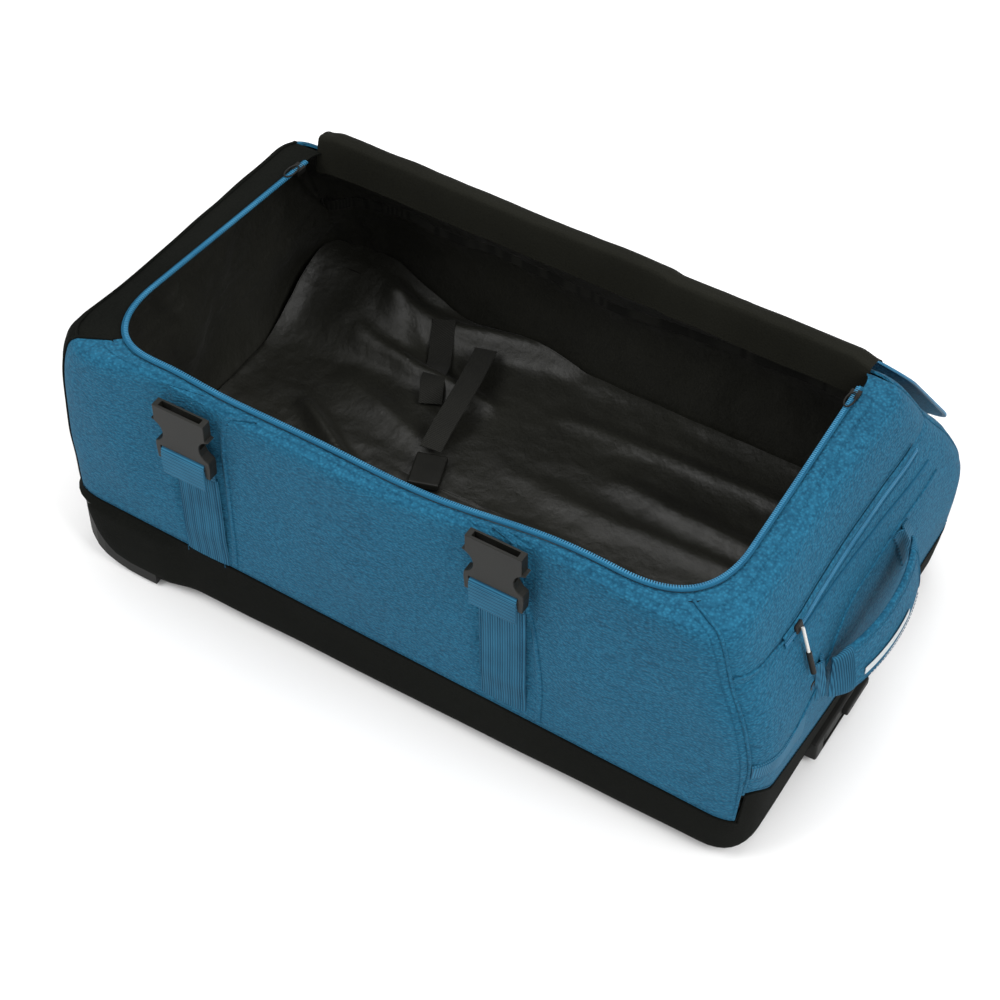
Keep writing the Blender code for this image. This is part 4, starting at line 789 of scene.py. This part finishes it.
def floor_folds():
    """Folds of the loose lining: slanting ones by the wheels and long ones down the floor."""
    low, high = cad_box("floor_board")
    size = high - low
    folds = []
    for index in range(7):
        across = low.y + size.y * (0.10 + 0.13 * index)
        start = Vector((low.x + size.x * (0.40 + 0.07 * (index % 3)), across))
        end = Vector((low.x + size.x * (0.96 - 0.08 * (index % 2)), across + 0.014 * (-1) ** index))
        folds.append((start, end, 0.010 + 0.002 * (index % 3), 0.007 + 0.003 * (index % 2)))
    for index in range(6):
        root = Vector((low.x + size.x * (0.01 + 0.03 * (index % 2)), low.y + size.y * (0.30 + 0.13 * index)))
        angle = math.radians(-62 + 15 * index)
        reach = Vector((math.cos(angle), math.sin(angle)))
        folds.append((root, root + reach * (0.130 + 0.035 * (index % 3)),
                      0.011 + 0.004 * (index % 2), 0.011 + 0.005 * (index % 3)))
    return folds


FLOOR_FOLDS = floor_folds()


def over_segment(x, y, start, end):
    """Distance from a flat point to a segment, and how far along it lies."""
    run, reach = end - start, Vector((x, y)) - start
    near = min(1.0, max(0.0, reach.dot(run) / run.length_squared))
    return (reach - run * near).length, near


def floor_height(x, y):
    """The lining's height over the floor board, draped over the wheel housings."""
    height = FLOOR_Z + 0.0015
    wander = noise.noise(Vector((x * 14, y * 14, 1))) * 0.030
    reach_x = 1 - smoothstep(x + wander, HOUSING_HIGH.x + 0.002, HOUSING_HIGH.x + 0.100)
    reach_y = smoothstep(abs(y) + wander, HOUSING_LOW.y - 0.095, HOUSING_LOW.y)
    height += (HOUSING_HIGH.z + 0.004 - FLOOR_Z) * reach_x * reach_y
    for start, end, width, rise in FLOOR_FOLDS:
        distance, near = over_segment(x, y, start, end)
        wander = 1 + 0.35 * noise.noise(Vector((x * 14, y * 14, 3.0)))
        height += rise * bump(distance, width * wander) * math.sin(math.pi * (0.1 + 0.8 * near)) ** 0.5
    ripple = noise.noise(Vector((x * 9, y * 26, 0.0))) * 0.0040
    ripple += noise.noise(Vector((x * 30, y * 60, 5.0))) * 0.0014
    return height + max(0.0, ripple)


def wall_fold(level, point):
    """How far the lining hangs in from the shell's wall."""
    hang = smoothstep(level, 2.0, 4.0) * (1 - smoothstep(level, 7.6, 8.9))
    arc_length = point.x + point.y
    drape = noise.noise(Vector((arc_length * 16, point.z * 4.0, 1.0)))
    crease = noise.noise(Vector((arc_length * 34 + point.z * 9, point.z * 15, 7.0)))
    pucker = noise.noise(Vector((arc_length * 62 - point.z * 40, point.z * 44, 3.0)))
    at_wheel_end = smoothstep(-point.x, 0.24, 0.36)
    amount = 0.0085 * max(0.0, drape) + 0.0036 * max(0.0, crease) + 0.0018 * abs(pucker)
    belly = 0.020 * bump(point.z - 0.17, 0.075)
    belly *= 0.6 + 0.6 * noise.noise(Vector((point.y * 7, point.z * 5, 2.0)))
    return (amount * (0.8 + 1.9 * at_wheel_end) + belly * at_wheel_end) * hang


def lining_wall_point(place, level):
    """A point of the lining on the bag's walls, pressed up over the wheel housings."""
    plain = skin_point(place, level)
    ground, top = floor_height(plain.x * 0.97, plain.y * 0.97), 0.300
    if FLOOR_Z <= plain.z < top:
        height = ground + (plain.z - FLOOR_Z) * (top - ground) / (top - FLOOR_Z)
        rows = [2 + step * 0.25 for step in range(24)]
        level = float(np.interp(height, [skin_point(place, row).z for row in rows], rows))
        plain = skin_point(place, level)
    return surface(place, level, -LINING_DEPTH - wall_fold(level, plain))


def make_lining(looks):
    """The whole lining: its walls, and a floor that closes in rings to a centre line."""
    places = places_between(0, ROUND, 0.0055)[:-1]
    levels = levels_between(2.0, 8.85, 0.0050)
    walls = np.array([[tuple(lining_wall_point(place, level)) for place in places] for level in levels])
    rim = walls[0]
    rings = 44
    floor = []
    for ring in range(1, rings + 1):
        share = 1 - (ring / rings) ** 1.15 * 0.995
        row = []
        for x, y, _ in rim:
            centre_x = max(-0.17, min(0.17, x))
            px, py = centre_x + (x - centre_x) * share, y * share
            row.append((px, py, floor_height(px, py) + 0.004 * (1 - smoothstep(ring, 0, 6))))
        floor.append(row)
    grid = np.concatenate([np.array(floor)[::-1], walls])
    rows, columns = grid.shape[:2]
    verts, faces = thick_sheet(grid, -LINING_THICK, closed=True)
    piece("lining_bag", (verts, closed_foot(faces, columns, rows * columns)), looks["lining_cloth"], "bag",
          ["lining"], sharp=60)


def on_lining(place, level, lift):
    """A point just inside the lining's wall."""
    inward = -skin_normal(place, level)
    return lining_wall_point(place, level) + inward * lift


# Where the packing webbing lies. These places were read from the photograph, not from the frame.
PACKING_LINE = ((-0.205, 0.195), (-0.196, 0.175), (-0.184, 0.150), (-0.172, 0.120), (-0.160, 0.095))


def make_lining_trims(looks):
    """The bound seam along the rear wall, the zip's inner binding and a second packing webbing."""
    places = places_between(REAR_RIGHT + 0.6, REAR_LEFT + 0.4, 0.006)
    line = []
    for index, place in enumerate(places):
        share = index / (len(places) - 1)
        line.append(on_lining(place, 4.95 - 0.75 * share, 0.0022))
    section = strap_section(0.0022, 0.0130)
    piece("rear_seam_binding", tube(line, section), looks["black_webbing"], "bag")
    under = level_line(LEFT + 0.03, ROUND + RIGHT + 0.97, 8.95, -0.0055)
    piece("zip_inner_binding", tube(under, strap_section(0.0014, 0.0090)), looks["black_cloth"], "bag")
    strip = [(x, y, floor_height(x, y) + 0.0040) for x, y in PACKING_LINE]
    webbing_run = smooth_path(strip, 0.004)
    piece("packing_webbing", tube(webbing_run, strap_section(0.0260, 0.0014)), looks["black_webbing"], "bag")


# ---------------------------------------------------------------- zips

def teeth_along(line, outwards, pitch, size):
    """A row of zip teeth along a line; outwards gives each tooth's direction."""
    points = even_path(line, pitch)
    parts = []
    for index, point in enumerate(points[:-1]):
        along = (points[index + 1] - point).normalized()
        across = outwards(index / (len(points) - 1))
        across = (across - along * across.dot(along)).normalized()
        parts.append(little_block(point, along, across, size))
    return joined(parts)


def seam(name, line, radius, look):
    """A thin rounded seam along a line of the skin."""
    piece(name, tube(line, round_section(radius, 8), outward_along(line)), look, "bag")


def make_main_zip(looks):
    """The body's half of the main zip: a tape rolled over the edge and its row of teeth."""
    start, end = LEFT + 0.03, ROUND + RIGHT + 0.97
    places = places_between(start, end, 0.005)
    first, last = ZIP_LINE + BAND_START - 0.03, ZIP_EDGE - 0.04
    levels = [first + (last - first) * step / 7 for step in range(8)]
    arch = [math.sin(math.pi * step / 7) for step in range(8)]
    grid = np.array([[tuple(surface(place, level, 0.0004 + 0.0017 * rise)) for place in places]
                     for level, rise in zip(levels, arch)])
    piece("main_zip_band", thick_sheet(grid, 0.0014), looks["zip_tape"], "bag", ["main_zip_tape"])
    edge = level_line(start, end, ZIP_EDGE - 0.20, 0.0014, 0.002)
    fold = level_line(start, end, ZIP_LINE + BAND_START, 0.0006, 0.003)

    def inward(share):
        point = edge[round(share * (len(edge) - 1))]
        return Vector((-point.x * 0.4, -point.y, 0.0)).normalized()

    piece("main_zip_teeth", teeth_along(edge, inward, 0.0024, (0.0015, 0.0044, 0.0024)), looks["zip_teeth"],
          "bag")
    seam("main_zip_piping", fold, 0.0011, looks["thread_blue"])


def make_pocket_zip(looks):
    """The handle end pocket's zip under its flap, with the seam round the pocket."""
    start, end = ROUND + RIGHT + 0.09, ROUND + RIGHT + 0.95
    places = places_between(start, end, 0.004)
    levels = [5.82, 5.87, 5.92, 5.97, 6.02]
    grid = np.array([[tuple(surface(place, level, 0.0009)) for place in places] for level in levels])
    piece("pocket_zip_band", thick_sheet(grid, 0.0007), looks["zip_tape"], "bag",
          ["pocket_zip_tape"])
    flap_levels = [5.975, 6.00, 6.04, 6.09]
    flap = np.array([[tuple(surface(place, level, 0.0019 if step < 3 else 0.0003)) for place in places]
                     for step, level in enumerate(flap_levels)])
    piece("pocket_flap", thick_sheet(flap, 0.0009), looks["blue_cloth"], "bag")
    corner = places_between(FRONT_SEAMS[1] + 0.04, start, 0.004)
    fold = skin_line(corner, [6.22 - 0.24 * i / len(corner) for i in range(len(corner))], 0.0003)
    seam("pocket_corner_seam", fold, 0.0012, looks["blue_cloth"])
    back = places_between(start + 0.04, end, 0.004)
    lower_edge = skin_line(back, [5.80 - 0.42 * i / len(back) for i in range(len(back))], 0.0004)
    seam("pocket_edge_seam", lower_edge, 0.0013, looks["thread_blue"])
    line = level_line(start, end, 5.905, 0.0018, 0.002)
    piece("pocket_zip_teeth", teeth_along(line, lambda share: Vector((0, 0, 1)), 0.0020,
                                          (0.0014, 0.0042, 0.0018)), looks["zip_teeth"], "bag")
    seams = []
    for level in (5.76, 6.18):
        seams.append(stitch_run(level_line(start + 0.05, end, level, 0.0004)))
    piece("pocket_stitching", joined(seams), looks["thread_blue"], "bag")
    places = places_between(FRONT_SEAMS[1] + 0.04, end, 0.004)
    shares = [index / len(places) for index in range(len(places))]
    lower = skin_line(places, [4.05 + 0.95 * smoothstep(share, 0.08, 0.55) for share in shares], 0.0004)
    seam("pocket_lower_seam", lower, 0.0013, looks["blue_cloth"])


# ---------------------------------------------------------------- straps, buckles and handle

def make_front_webbing(looks):
    """Ribbed webbing sewn down the front under each buckle, with its edge stitching."""
    for side, x in BUCKLE_X.items():
        low, high = cad_box(f"front_webbing_{side}")
        heights = np.linspace(low.z - 0.004, high.z, 30)
        columns = 96
        grid = []
        for height in heights:
            foot = 1 - smoothstep(height, low.z, low.z + 0.04)
            lean = 0.0012 * math.sin((height - low.z) * 22) + 0.0030 * foot
            row = []
            for column in range(columns + 1):
                share = column / columns
                out = 0.0024 * math.sin(math.pi * share) ** 0.25 + 0.00032 * math.cos(math.tau * 24 * share)
                row.append((x + WEBBING_WIDE * (share - 0.5), -0.2340 - out + lean, height))
            grid.append(row)
        piece(f"front_strip_{side}", thick_sheet(grid, 0.0014), looks["webbing_x"], "bag",
              [f"front_webbing_{side}"])
        runs = []
        for edge in (-1, 1):
            reach = x + edge * (WEBBING_WIDE / 2 - 0.003)
            runs.append([Vector((reach, -0.2362, height)) for height in heights])
        piece(f"front_strip_stitching_{side}", joined([stitch_run(run) for run in runs]),
              looks["thread_blue"], "bag")


def make_buckle_loops(looks):
    """The webbing that wraps each socket's bar and comes down in front of it."""
    for side, x in BUCKLE_X.items():
        low, high = cad_box(f"buckle_loop_{side}")
        bar_z, front = high.z - 0.0016, low.y + 0.0009
        root = Vector(JOINTS[f"buckle_socket_{side}_flip"]["pos_m"]) - BAG_ORIGIN
        behind = BUCKLES[side][1].y + 0.0014
        line = [(x, root.y, root.z), (x, behind + 0.001, root.z + 0.016), (x, behind, bar_z - 0.005),
                (x, behind - 0.0022, bar_z), (x, front + 0.0022, bar_z), (x, front, bar_z - 0.004),
                (x, front - 0.0004, bar_z - 0.014), (x, front, low.z + 0.001)]
        path = smooth_path(line, 0.0020)
        half = WEBBING_WIDE / 2 - 0.0006
        ribbon = []
        for index, point in enumerate(path):
            before, after = path[max(index - 1, 0)], path[min(index + 1, len(path) - 1)]
            along = (after - before).normalized()
            side_way = Vector((0.0, along.z, -along.y)) * (0.0008 + 0.00025 * math.cos(math.pi * index))
            ribbon.append((point, side_way))
        ring = [point + way for point, way in ribbon] + [point - way for point, way in reversed(ribbon)]
        verts = [(x + edge * half, point.y, point.z) for edge in (-1, 1) for point in ring]
        count = len(ring)
        faces = [(i, (i + 1) % count, count + (i + 1) % count, count + i) for i in range(count)]
        last = len(ribbon) - 1
        for base in (0, count):
            faces += [(base + i, base + i + 1, base + count - 2 - i, base + count - 1 - i)
                      for i in range(last)]
        piece(f"buckle_wrap_{side}", (verts, faces), looks["webbing_z"], f"buckle_socket_{side}",
              [f"buckle_loop_{side}"])


HANDLE_HALF_SPAN, HANDLE_TALL, HANDLE_THICK = 0.0875, 0.0270, 0.0042
HANDLE_LEAN = 0.16                             # how its top leans to the bag
HANDLE_SLACK = 0.0130                          # how far inside its CAD solid it hangs


def handle_line(first, last, steps):
    """The carry handle's centre line between two shares of its length."""
    pivot = Vector(JOINTS["carry_handle_swing"]["pos_m"]) - BAG_ORIGIN
    reach = cad_box("carry_handle")[1].x - pivot.x - HANDLE_THICK - HANDLE_SLACK
    line = []
    for index in range(steps + 1):
        share = first + (last - first) * index / steps
        bow = math.sin(math.pi * share) ** 0.6
        line.append(Vector((pivot.x + reach * bow, pivot.y + HANDLE_HALF_SPAN * (2 * share - 1), pivot.z)))
    return line


def swing_from_feet(made):
    """Bake the piece's placement into its mesh; nothing here bends it or ties it to the bag or the handle."""
    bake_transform(made)


def pad_section(tall, thick):
    """A flat pad's section with full rounded edges."""
    shape = []
    for n in range(28):
        c, s = math.cos(math.tau * n / 28), math.sin(math.tau * n / 28)
        across, up = thick * math.copysign(abs(c) ** 0.6, c), tall * math.copysign(abs(s) ** 0.45, s)
        shape.append((across - HANDLE_LEAN * up, up))
    return shape


def make_carry_handle(looks):
    """The padded handle with its reflective strip, its ribbed ends and its folded feet."""
    def section(share):
        plump = smoothstep(min(share, 1 - share), 0.0, 0.10)
        return pad_section(0.0235 + (HANDLE_TALL - 0.0235) * plump, 0.0020 + (HANDLE_THICK - 0.0020) * plump)

    handle = piece("handle_pad", tube(handle_line(0.0, 1.0, 70), section), looks["blue_cloth"], None,
                   ["carry_handle"])
    swinging = [handle]
    edges = []
    for edge in (-1, 1):
        rise = edge * (HANDLE_TALL - 0.0040)
        run = [point + Vector((HANDLE_THICK + 0.0002 - HANDLE_LEAN * rise, 0.0, rise))
               for point in handle_line(0.14, 0.86, 50)]
        edges.append(stitch_run(run))
    swinging.append(piece("handle_stitching", joined(edges), looks["thread_blue"], None))
    for name, first, last in (("near", 0.0, 0.115), ("far", 0.885, 1.0)):
        line = handle_line(first, last, 40)
        sleeve = []
        for index in range(41):
            share = first + (last - first) * index / 40
            plump = smoothstep(min(share, 1 - share), 0, 0.1)
            rib = 0.00025 * math.cos(math.pi * index)
            sleeve.append(pad_section(0.0240 + 0.0034 * plump, 0.0026 + 0.0022 * plump + rib))
        shape = tube(line, lambda share: sleeve[round(share * 40)])
        swinging.append(piece(f"handle_end_{name}", shape, looks["webbing_y"], None))
    drop = -0.0125
    strip = [point + Vector((HANDLE_THICK + 0.0008 - HANDLE_LEAN * drop, 0.0, drop))
             for point in handle_line(0.18, 0.66, 40)]
    swinging.append(piece("handle_reflector", tube(strip, strap_section(0.0007, 0.0100)), looks["reflective"],
                          None))
    for made in swinging:
        swing_from_feet(made)
    for side in ("near", "far"):
        low, high = cad_box(f"handle_foot_{side}")
        middle = (low.y + high.y) / 2
        start_y, end_y = skin_point(RIGHT, 4.5).y, skin_point(RIGHT + 0.999, 4.5).y
        grid = []
        for row in range(17):
            level = 4.06 + (4.92 - 4.06) * row / 16
            columns = []
            for column in range(25):
                y = middle + (high.y - low.y + 0.008) * (column / 24 - 0.5)
                fold = 0.0040 * bump(y - middle, 0.0035) + 0.0022 + 0.0002 * math.cos(math.pi * column)
                columns.append(tuple(surface(ROUND + RIGHT + (y - start_y) / (end_y - start_y), level, fold)))
            grid.append(columns)
        piece(f"handle_tab_{side}", thick_sheet(np.array(grid), 0.0020), looks["webbing_y"], "bag",
              [f"handle_foot_{side}"])


CORD_LENGTH, CORD_RADIUS = 0.0300, 0.0016
CORD_HANG = Vector((0.30, 0.0, -1.0)).normalized()
CORD_STEPS = 18


def make_pocket_cord(looks):
    """The white cord of the pocket's pull; the moulded tube at its end is not made here."""
    hinge = Vector(JOINTS["pocket_pull_swing"]["pos_m"])
    route = [hinge + CORD_HANG * (CORD_LENGTH * step / CORD_STEPS) for step in range(CORD_STEPS + 1)]
    local = [point - BAG_ORIGIN for point in route]
    shape = tube(local, round_section(CORD_RADIUS, 12), Vector((0, 1, 0)))
    cord = piece("pull_cord", shape, looks["white_cord"], "pocket_pull", ["pocket_pull_cord"])


def make_corner_strip(looks):
    """The ribbed strip sewn into the front corner of the handle end."""
    places = places_between(FRONT_SEAMS[1] + 0.03, ROUND + RIGHT + 0.12, 0.003)
    levels = [3.62 + 0.50 * step / 8 for step in range(9)]
    grid = np.array([[tuple(surface(place, level, 0.0010)) for place in places] for level in levels])
    piece("corner_strip", thick_sheet(grid, 0.0012), looks["webbing_y"], "bag")


def make_inside_strap(looks):
    """The packing strap that lies on the floor; its side-release buckle half is not made here."""
    low, high = cad_box("inside_strap")
    root = Vector(JOINTS["inside_strap_lift"]["pos_m"]) - BAG_ORIGIN
    tip = Vector((high.x - 0.012, low.y + 0.004, root.z))
    line = []
    for step in range(6):
        share = step / 5
        rise = 0.011 * math.sin(math.pi * share) + 0.009
        line.append(root.lerp(tip, share) + Vector((0.004 * math.sin(4 * share), 0, rise)))
    piece("packing_strap", tube(smooth_path(line, 0.004), strap_section(0.0250, 0.0014)),
          looks["black_webbing"], "inside_strap", ["inside_strap"])


# ---------------------------------------------------------------- lid

LID_LOW, LID_TALL, HINGE_FLAP = HINGE_Z + 0.0008, 0.0100, 0.0120
ZIP_CLEAR = 0.0045                            # room over the bag's zip and its teeth
LID_RINGS = 34


def lid_rise(x, y):
    """How far the shut lid stands up to clear the bag's own zip where the front edge rises."""
    z_left, z_right, x_left, _, x_right = LEVELS[ZIP_LINE][:5]
    plain = z_left + (z_right - z_left) * (x - x_left) / (x_right - x_left)
    return max(0.0, plain + crest_rise(Vector((x, y, plain)), ZIP_LINE) + ZIP_CLEAR - LID_LOW)


def lid_turn():
    """The lid is drawn shut, and this swings it open about its hinge."""
    hinge = Vector((0.0, HINGE_Y, HINGE_Z))
    return Matrix.Translation(hinge) @ Matrix.Rotation(-LID_OPEN, 4, "X") @ Matrix.Translation(-hinge)


def lid_edge():
    """The lid's plan outline, round the zip from one end of the hinge to the other."""
    hinge_side = HINGE_Y - HINGE_FLAP
    line = [skin_point(place, ZIP_LINE) for place in places_between(LEFT, ROUND + REAR_RIGHT, 0.006)]
    line = [Vector((point.x, point.y, 0.0)) for point in line if point.y < hinge_side - 0.008]
    for point in line:
        point.x -= math.copysign(0.036 * smoothstep(point.y, 0.020, hinge_side) ** 1.3, point.x)
    span = line[0].x - line[-1].x
    back = [Vector((line[-1].x + span * step / 90, hinge_side, 0.0)) for step in range(91)]
    return line, back


def lid_rings(edge, height):
    """Rings from the lid's edge in to its middle line, each point raised by height."""
    grid = []
    for ring in range(LID_RINGS + 1):
        share = 1 - (ring / LID_RINGS) * 0.985
        row = []
        for point in edge:
            centre_x = max(-0.16, min(0.16, point.x))
            x, y = centre_x + (point.x - centre_x) * share, -0.045 + (point.y + 0.045) * share
            row.append((x, y, height(x, y, ring / LID_RINGS)))
        grid.append(row)
    return grid


def capped_rings(rows_out, rows_in):
    """A closed body from an upper and a lower stack of rings that share an outline."""
    grid = np.array(rows_out[::-1] + rows_in, float)
    rows, columns = grid.shape[:2]
    faces = strip_faces(rows, columns, True)
    faces += [tuple(reversed(range(columns))), tuple(range((rows - 1) * columns, rows * columns))]
    return grid.reshape(-1, 3), faces


def make_lid(looks):
    """The padded lid with its lining, edge zip and two straps, hanging open behind the bag."""
    zip_line, back = lid_edge()
    edge = zip_line + back[1:-1]
    turn = lid_turn()

    def top(x, y, depth):
        puff = math.sin(min(1.0, depth * 7) * math.pi / 2)
        wave = noise.noise(Vector((x * 8, y * 11, 2))) * 0.0022
        return LID_LOW + lid_rise(x, y) + 0.0022 + (LID_TALL - 0.0026 + wave) * puff

    def middle(x, y, depth):
        return LID_LOW + lid_rise(x, y) + 0.0020

    def under(x, y, depth):
        fold = max(0.0, noise.noise(Vector((x * 22, y * 9, 9)))) * 0.0055
        fold += noise.noise(Vector((x * 9, y * 20, 4))) * 0.0012
        return LID_LOW + lid_rise(x, y) + 0.0010 - (0.0035 + fold) * smoothstep(depth, 0.08, 0.3)

    cover = piece("lid_cover", capped_rings(lid_rings(edge, top), lid_rings(edge, middle)),
                  looks["blue_cloth"], "lid", ["lid_panel"], turned=turn)
    piece("lid_inside", capped_rings(lid_rings(edge, lambda x, y, d: middle(x, y, d) - 0.0004),
                                     lid_rings(edge, under)),
          looks["lining_cloth"], "lid", ["lid_lining"], turned=turn, sharp=60)
    raised = [point + Vector((0, 0, LID_LOW + lid_rise(point.x, point.y) + 0.0020)) for point in zip_line]
    piece("lid_zip_band", tube(raised, strap_section(0.0110, 0.0022, 0.0009)), looks["zip_tape"], "lid",
          turned=turn)
    outer = even_path(raised, 0.002)

    def outward(share):
        point = outer[round(share * (len(outer) - 1))]
        return Vector((point.x, point.y, 0.0)).normalized()

    teeth_line = [point + outward(index / (len(outer) - 1)) * 0.0052 for index, point in enumerate(outer)]
    piece("lid_zip_teeth", teeth_along(teeth_line, outward, 0.0024, (0.0016, 0.0040, 0.0026)),
          looks["zip_teeth"], "lid", turned=turn)
    for side, x in BUCKLE_X.items():
        strap_z = LID_LOW + LID_TALL + 0.0012
        run = [Vector((x, y, strap_z + lid_rise(x, y) + 0.0008 * math.sin(y * 40)))
               for y in np.linspace(-0.2385, -0.0600, 48)]
        piece(f"lid_webbing_{side}", tube(run, strap_section(WEBBING_WIDE, 0.0017)), looks["webbing_x"],
              "lid", [f"lid_strap_{side}"], turned=turn)
        stitches = []
        for reach in (-0.016, 0.016):
            stitches.append(stitch_run([Vector((x + reach, y, strap_z + lid_rise(x, y) + 0.0014))
                                        for y in np.linspace(-0.215, -0.065, 60)]))
        for y in (-0.066, -0.095):
            stitches.append(stitch_run([Vector((x + reach, y, strap_z + lid_rise(x, y) + 0.0014))
                                        for reach in np.linspace(-0.016, 0.016, 12)]))
        piece(f"lid_strap_stitching_{side}", joined(stitches), looks["thread_blue"], "lid",
              turned=turn)


# The fold's section, as y and z from the hinge.
FOLD_SHAPE = ((-0.0218, -0.0380), (-0.0196, -0.0260), (-0.0174, -0.0140), (-0.0150, -0.0040),
              (-0.0126, 0.0004), (-0.0070, -0.0006), (-0.0010, -0.0022), (0.0050, -0.0062),
              (0.0100, -0.0118), (0.0136, -0.0165))


def make_lid_fold(looks):
    """The soft fold of lining that joins the rear wall to the lid across the hinge."""
    low, high = -0.3060, 0.3120
    shape = smooth_path([(0, y, z) for y, z in FOLD_SHAPE], 0.0018)
    grid = []
    for index, point in enumerate(shape):
        share = index / (len(shape) - 1)
        row = []
        for x in np.linspace(low, high, 190):
            wave = noise.noise(Vector((x * 11, share * 1.5, 4))) * 0.0022
            wave += noise.noise(Vector((x * 37, share * 3, 8))) * 0.0008
            step = -0.0026 * smoothstep(x, 0.090, 0.104)
            droop = -0.0050 * (1 - smoothstep(min(x - low, high - x), 0.0, 0.020))
            row.append((x, HINGE_Y + point.y, HINGE_Z + point.z + wave + step + droop))
        grid.append(row)
    fold = piece("lid_fold", thick_sheet(np.array(grid)[:, ::-1], 0.0012), looks["fold_cloth"], None,
                 ["hinge_binding"])
    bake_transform(fold)


# ---------------------------------------------------------------- carried-over CAD pieces

def dress_cad(looks):
    """Give each CAD node that still shows the material of its record slot."""
    slots = {entry["node"]: entry["material_slot"] for entry in frame["record"]["subparts"]}
    for name, node in frame["nodes"].items():
        slot = slots[name]
        look = looks["webbing_z" if slot == "blue_webbing" else slot]
        node.data.materials.clear()
        node.data.materials.append(look)


# ---------------------------------------------------------------- studio

def make_studio():
    """A pale floor, soft lights and the camera."""
    bpy.ops.mesh.primitive_plane_add(size=80.0, location=(0.0, 0.0, -0.0005))
    floor = bpy.context.object
    floor.name = "studio_floor"
    pale = Nodes("studio_floor")
    grain = pale.ramp(pale.noise(2), (0.860, 0.860, 0.860), (0.866, 0.866, 0.866))
    floor.data.materials.append(pale.finish(grain, 0.9))
    world = bpy.data.worlds.new("studio")
    bpy.context.scene.world = world
    world.use_nodes = True
    world.node_tree.nodes["Background"].inputs["Color"].default_value = (1.0, 1.0, 1.0, 1.0)
    world.node_tree.nodes["Background"].inputs["Strength"].default_value = 0.75
    lamps = (("key", (-1.3, -1.7, 2.6), 1.6, 50), ("fill", (2.2, -0.6, 2.2), 1.4, 52),
             ("top", (0.2, 0.9, 2.9), 1.8, 36))
    for name, place, size, power in lamps:
        light = bpy.data.lights.new(name, "AREA")
        light.size, light.energy = size, power
        lamp = bpy.data.objects.new(name, light)
        bpy.context.scene.collection.objects.link(lamp)
        lamp.location = place
        lamp.rotation_euler = (Vector((0, 0, 0.15)) - Vector(place)).to_track_quat("-Z", "Y").to_euler()
    azimuth, elevation, distance = math.radians(31.41), math.radians(48.89), 2.350
    target = Vector((0.0226, -0.0601, 0.15)) + BAG_ORIGIN
    back = Vector((math.sin(azimuth) * math.cos(elevation), -math.cos(azimuth) * math.cos(elevation),
                   math.sin(elevation)))
    lens = bpy.data.cameras.new("camera")
    lens.lens, lens.sensor_width = 86.4, 36.0
    camera = bpy.data.objects.new("camera", lens)
    bpy.context.scene.collection.objects.link(camera)
    camera.location = target + back * distance
    camera.rotation_euler = (-back).to_track_quat("-Z", "Y").to_euler()
    bpy.context.scene.camera = camera
    bpy.context.scene.view_settings.view_transform = "Standard"


def main():
    make_studio()
    looks = make_looks()
    dress_cad(looks)
    for make in (make_tray, make_shell, make_seam_welts, make_piping, make_lining, make_lining_trims,
                 make_main_zip, make_pocket_zip, make_front_webbing, make_buckle_loops, make_carry_handle,
                 make_pocket_cord, make_corner_strip, make_inside_strap, make_lid, make_lid_fold):
        make(looks)


main()
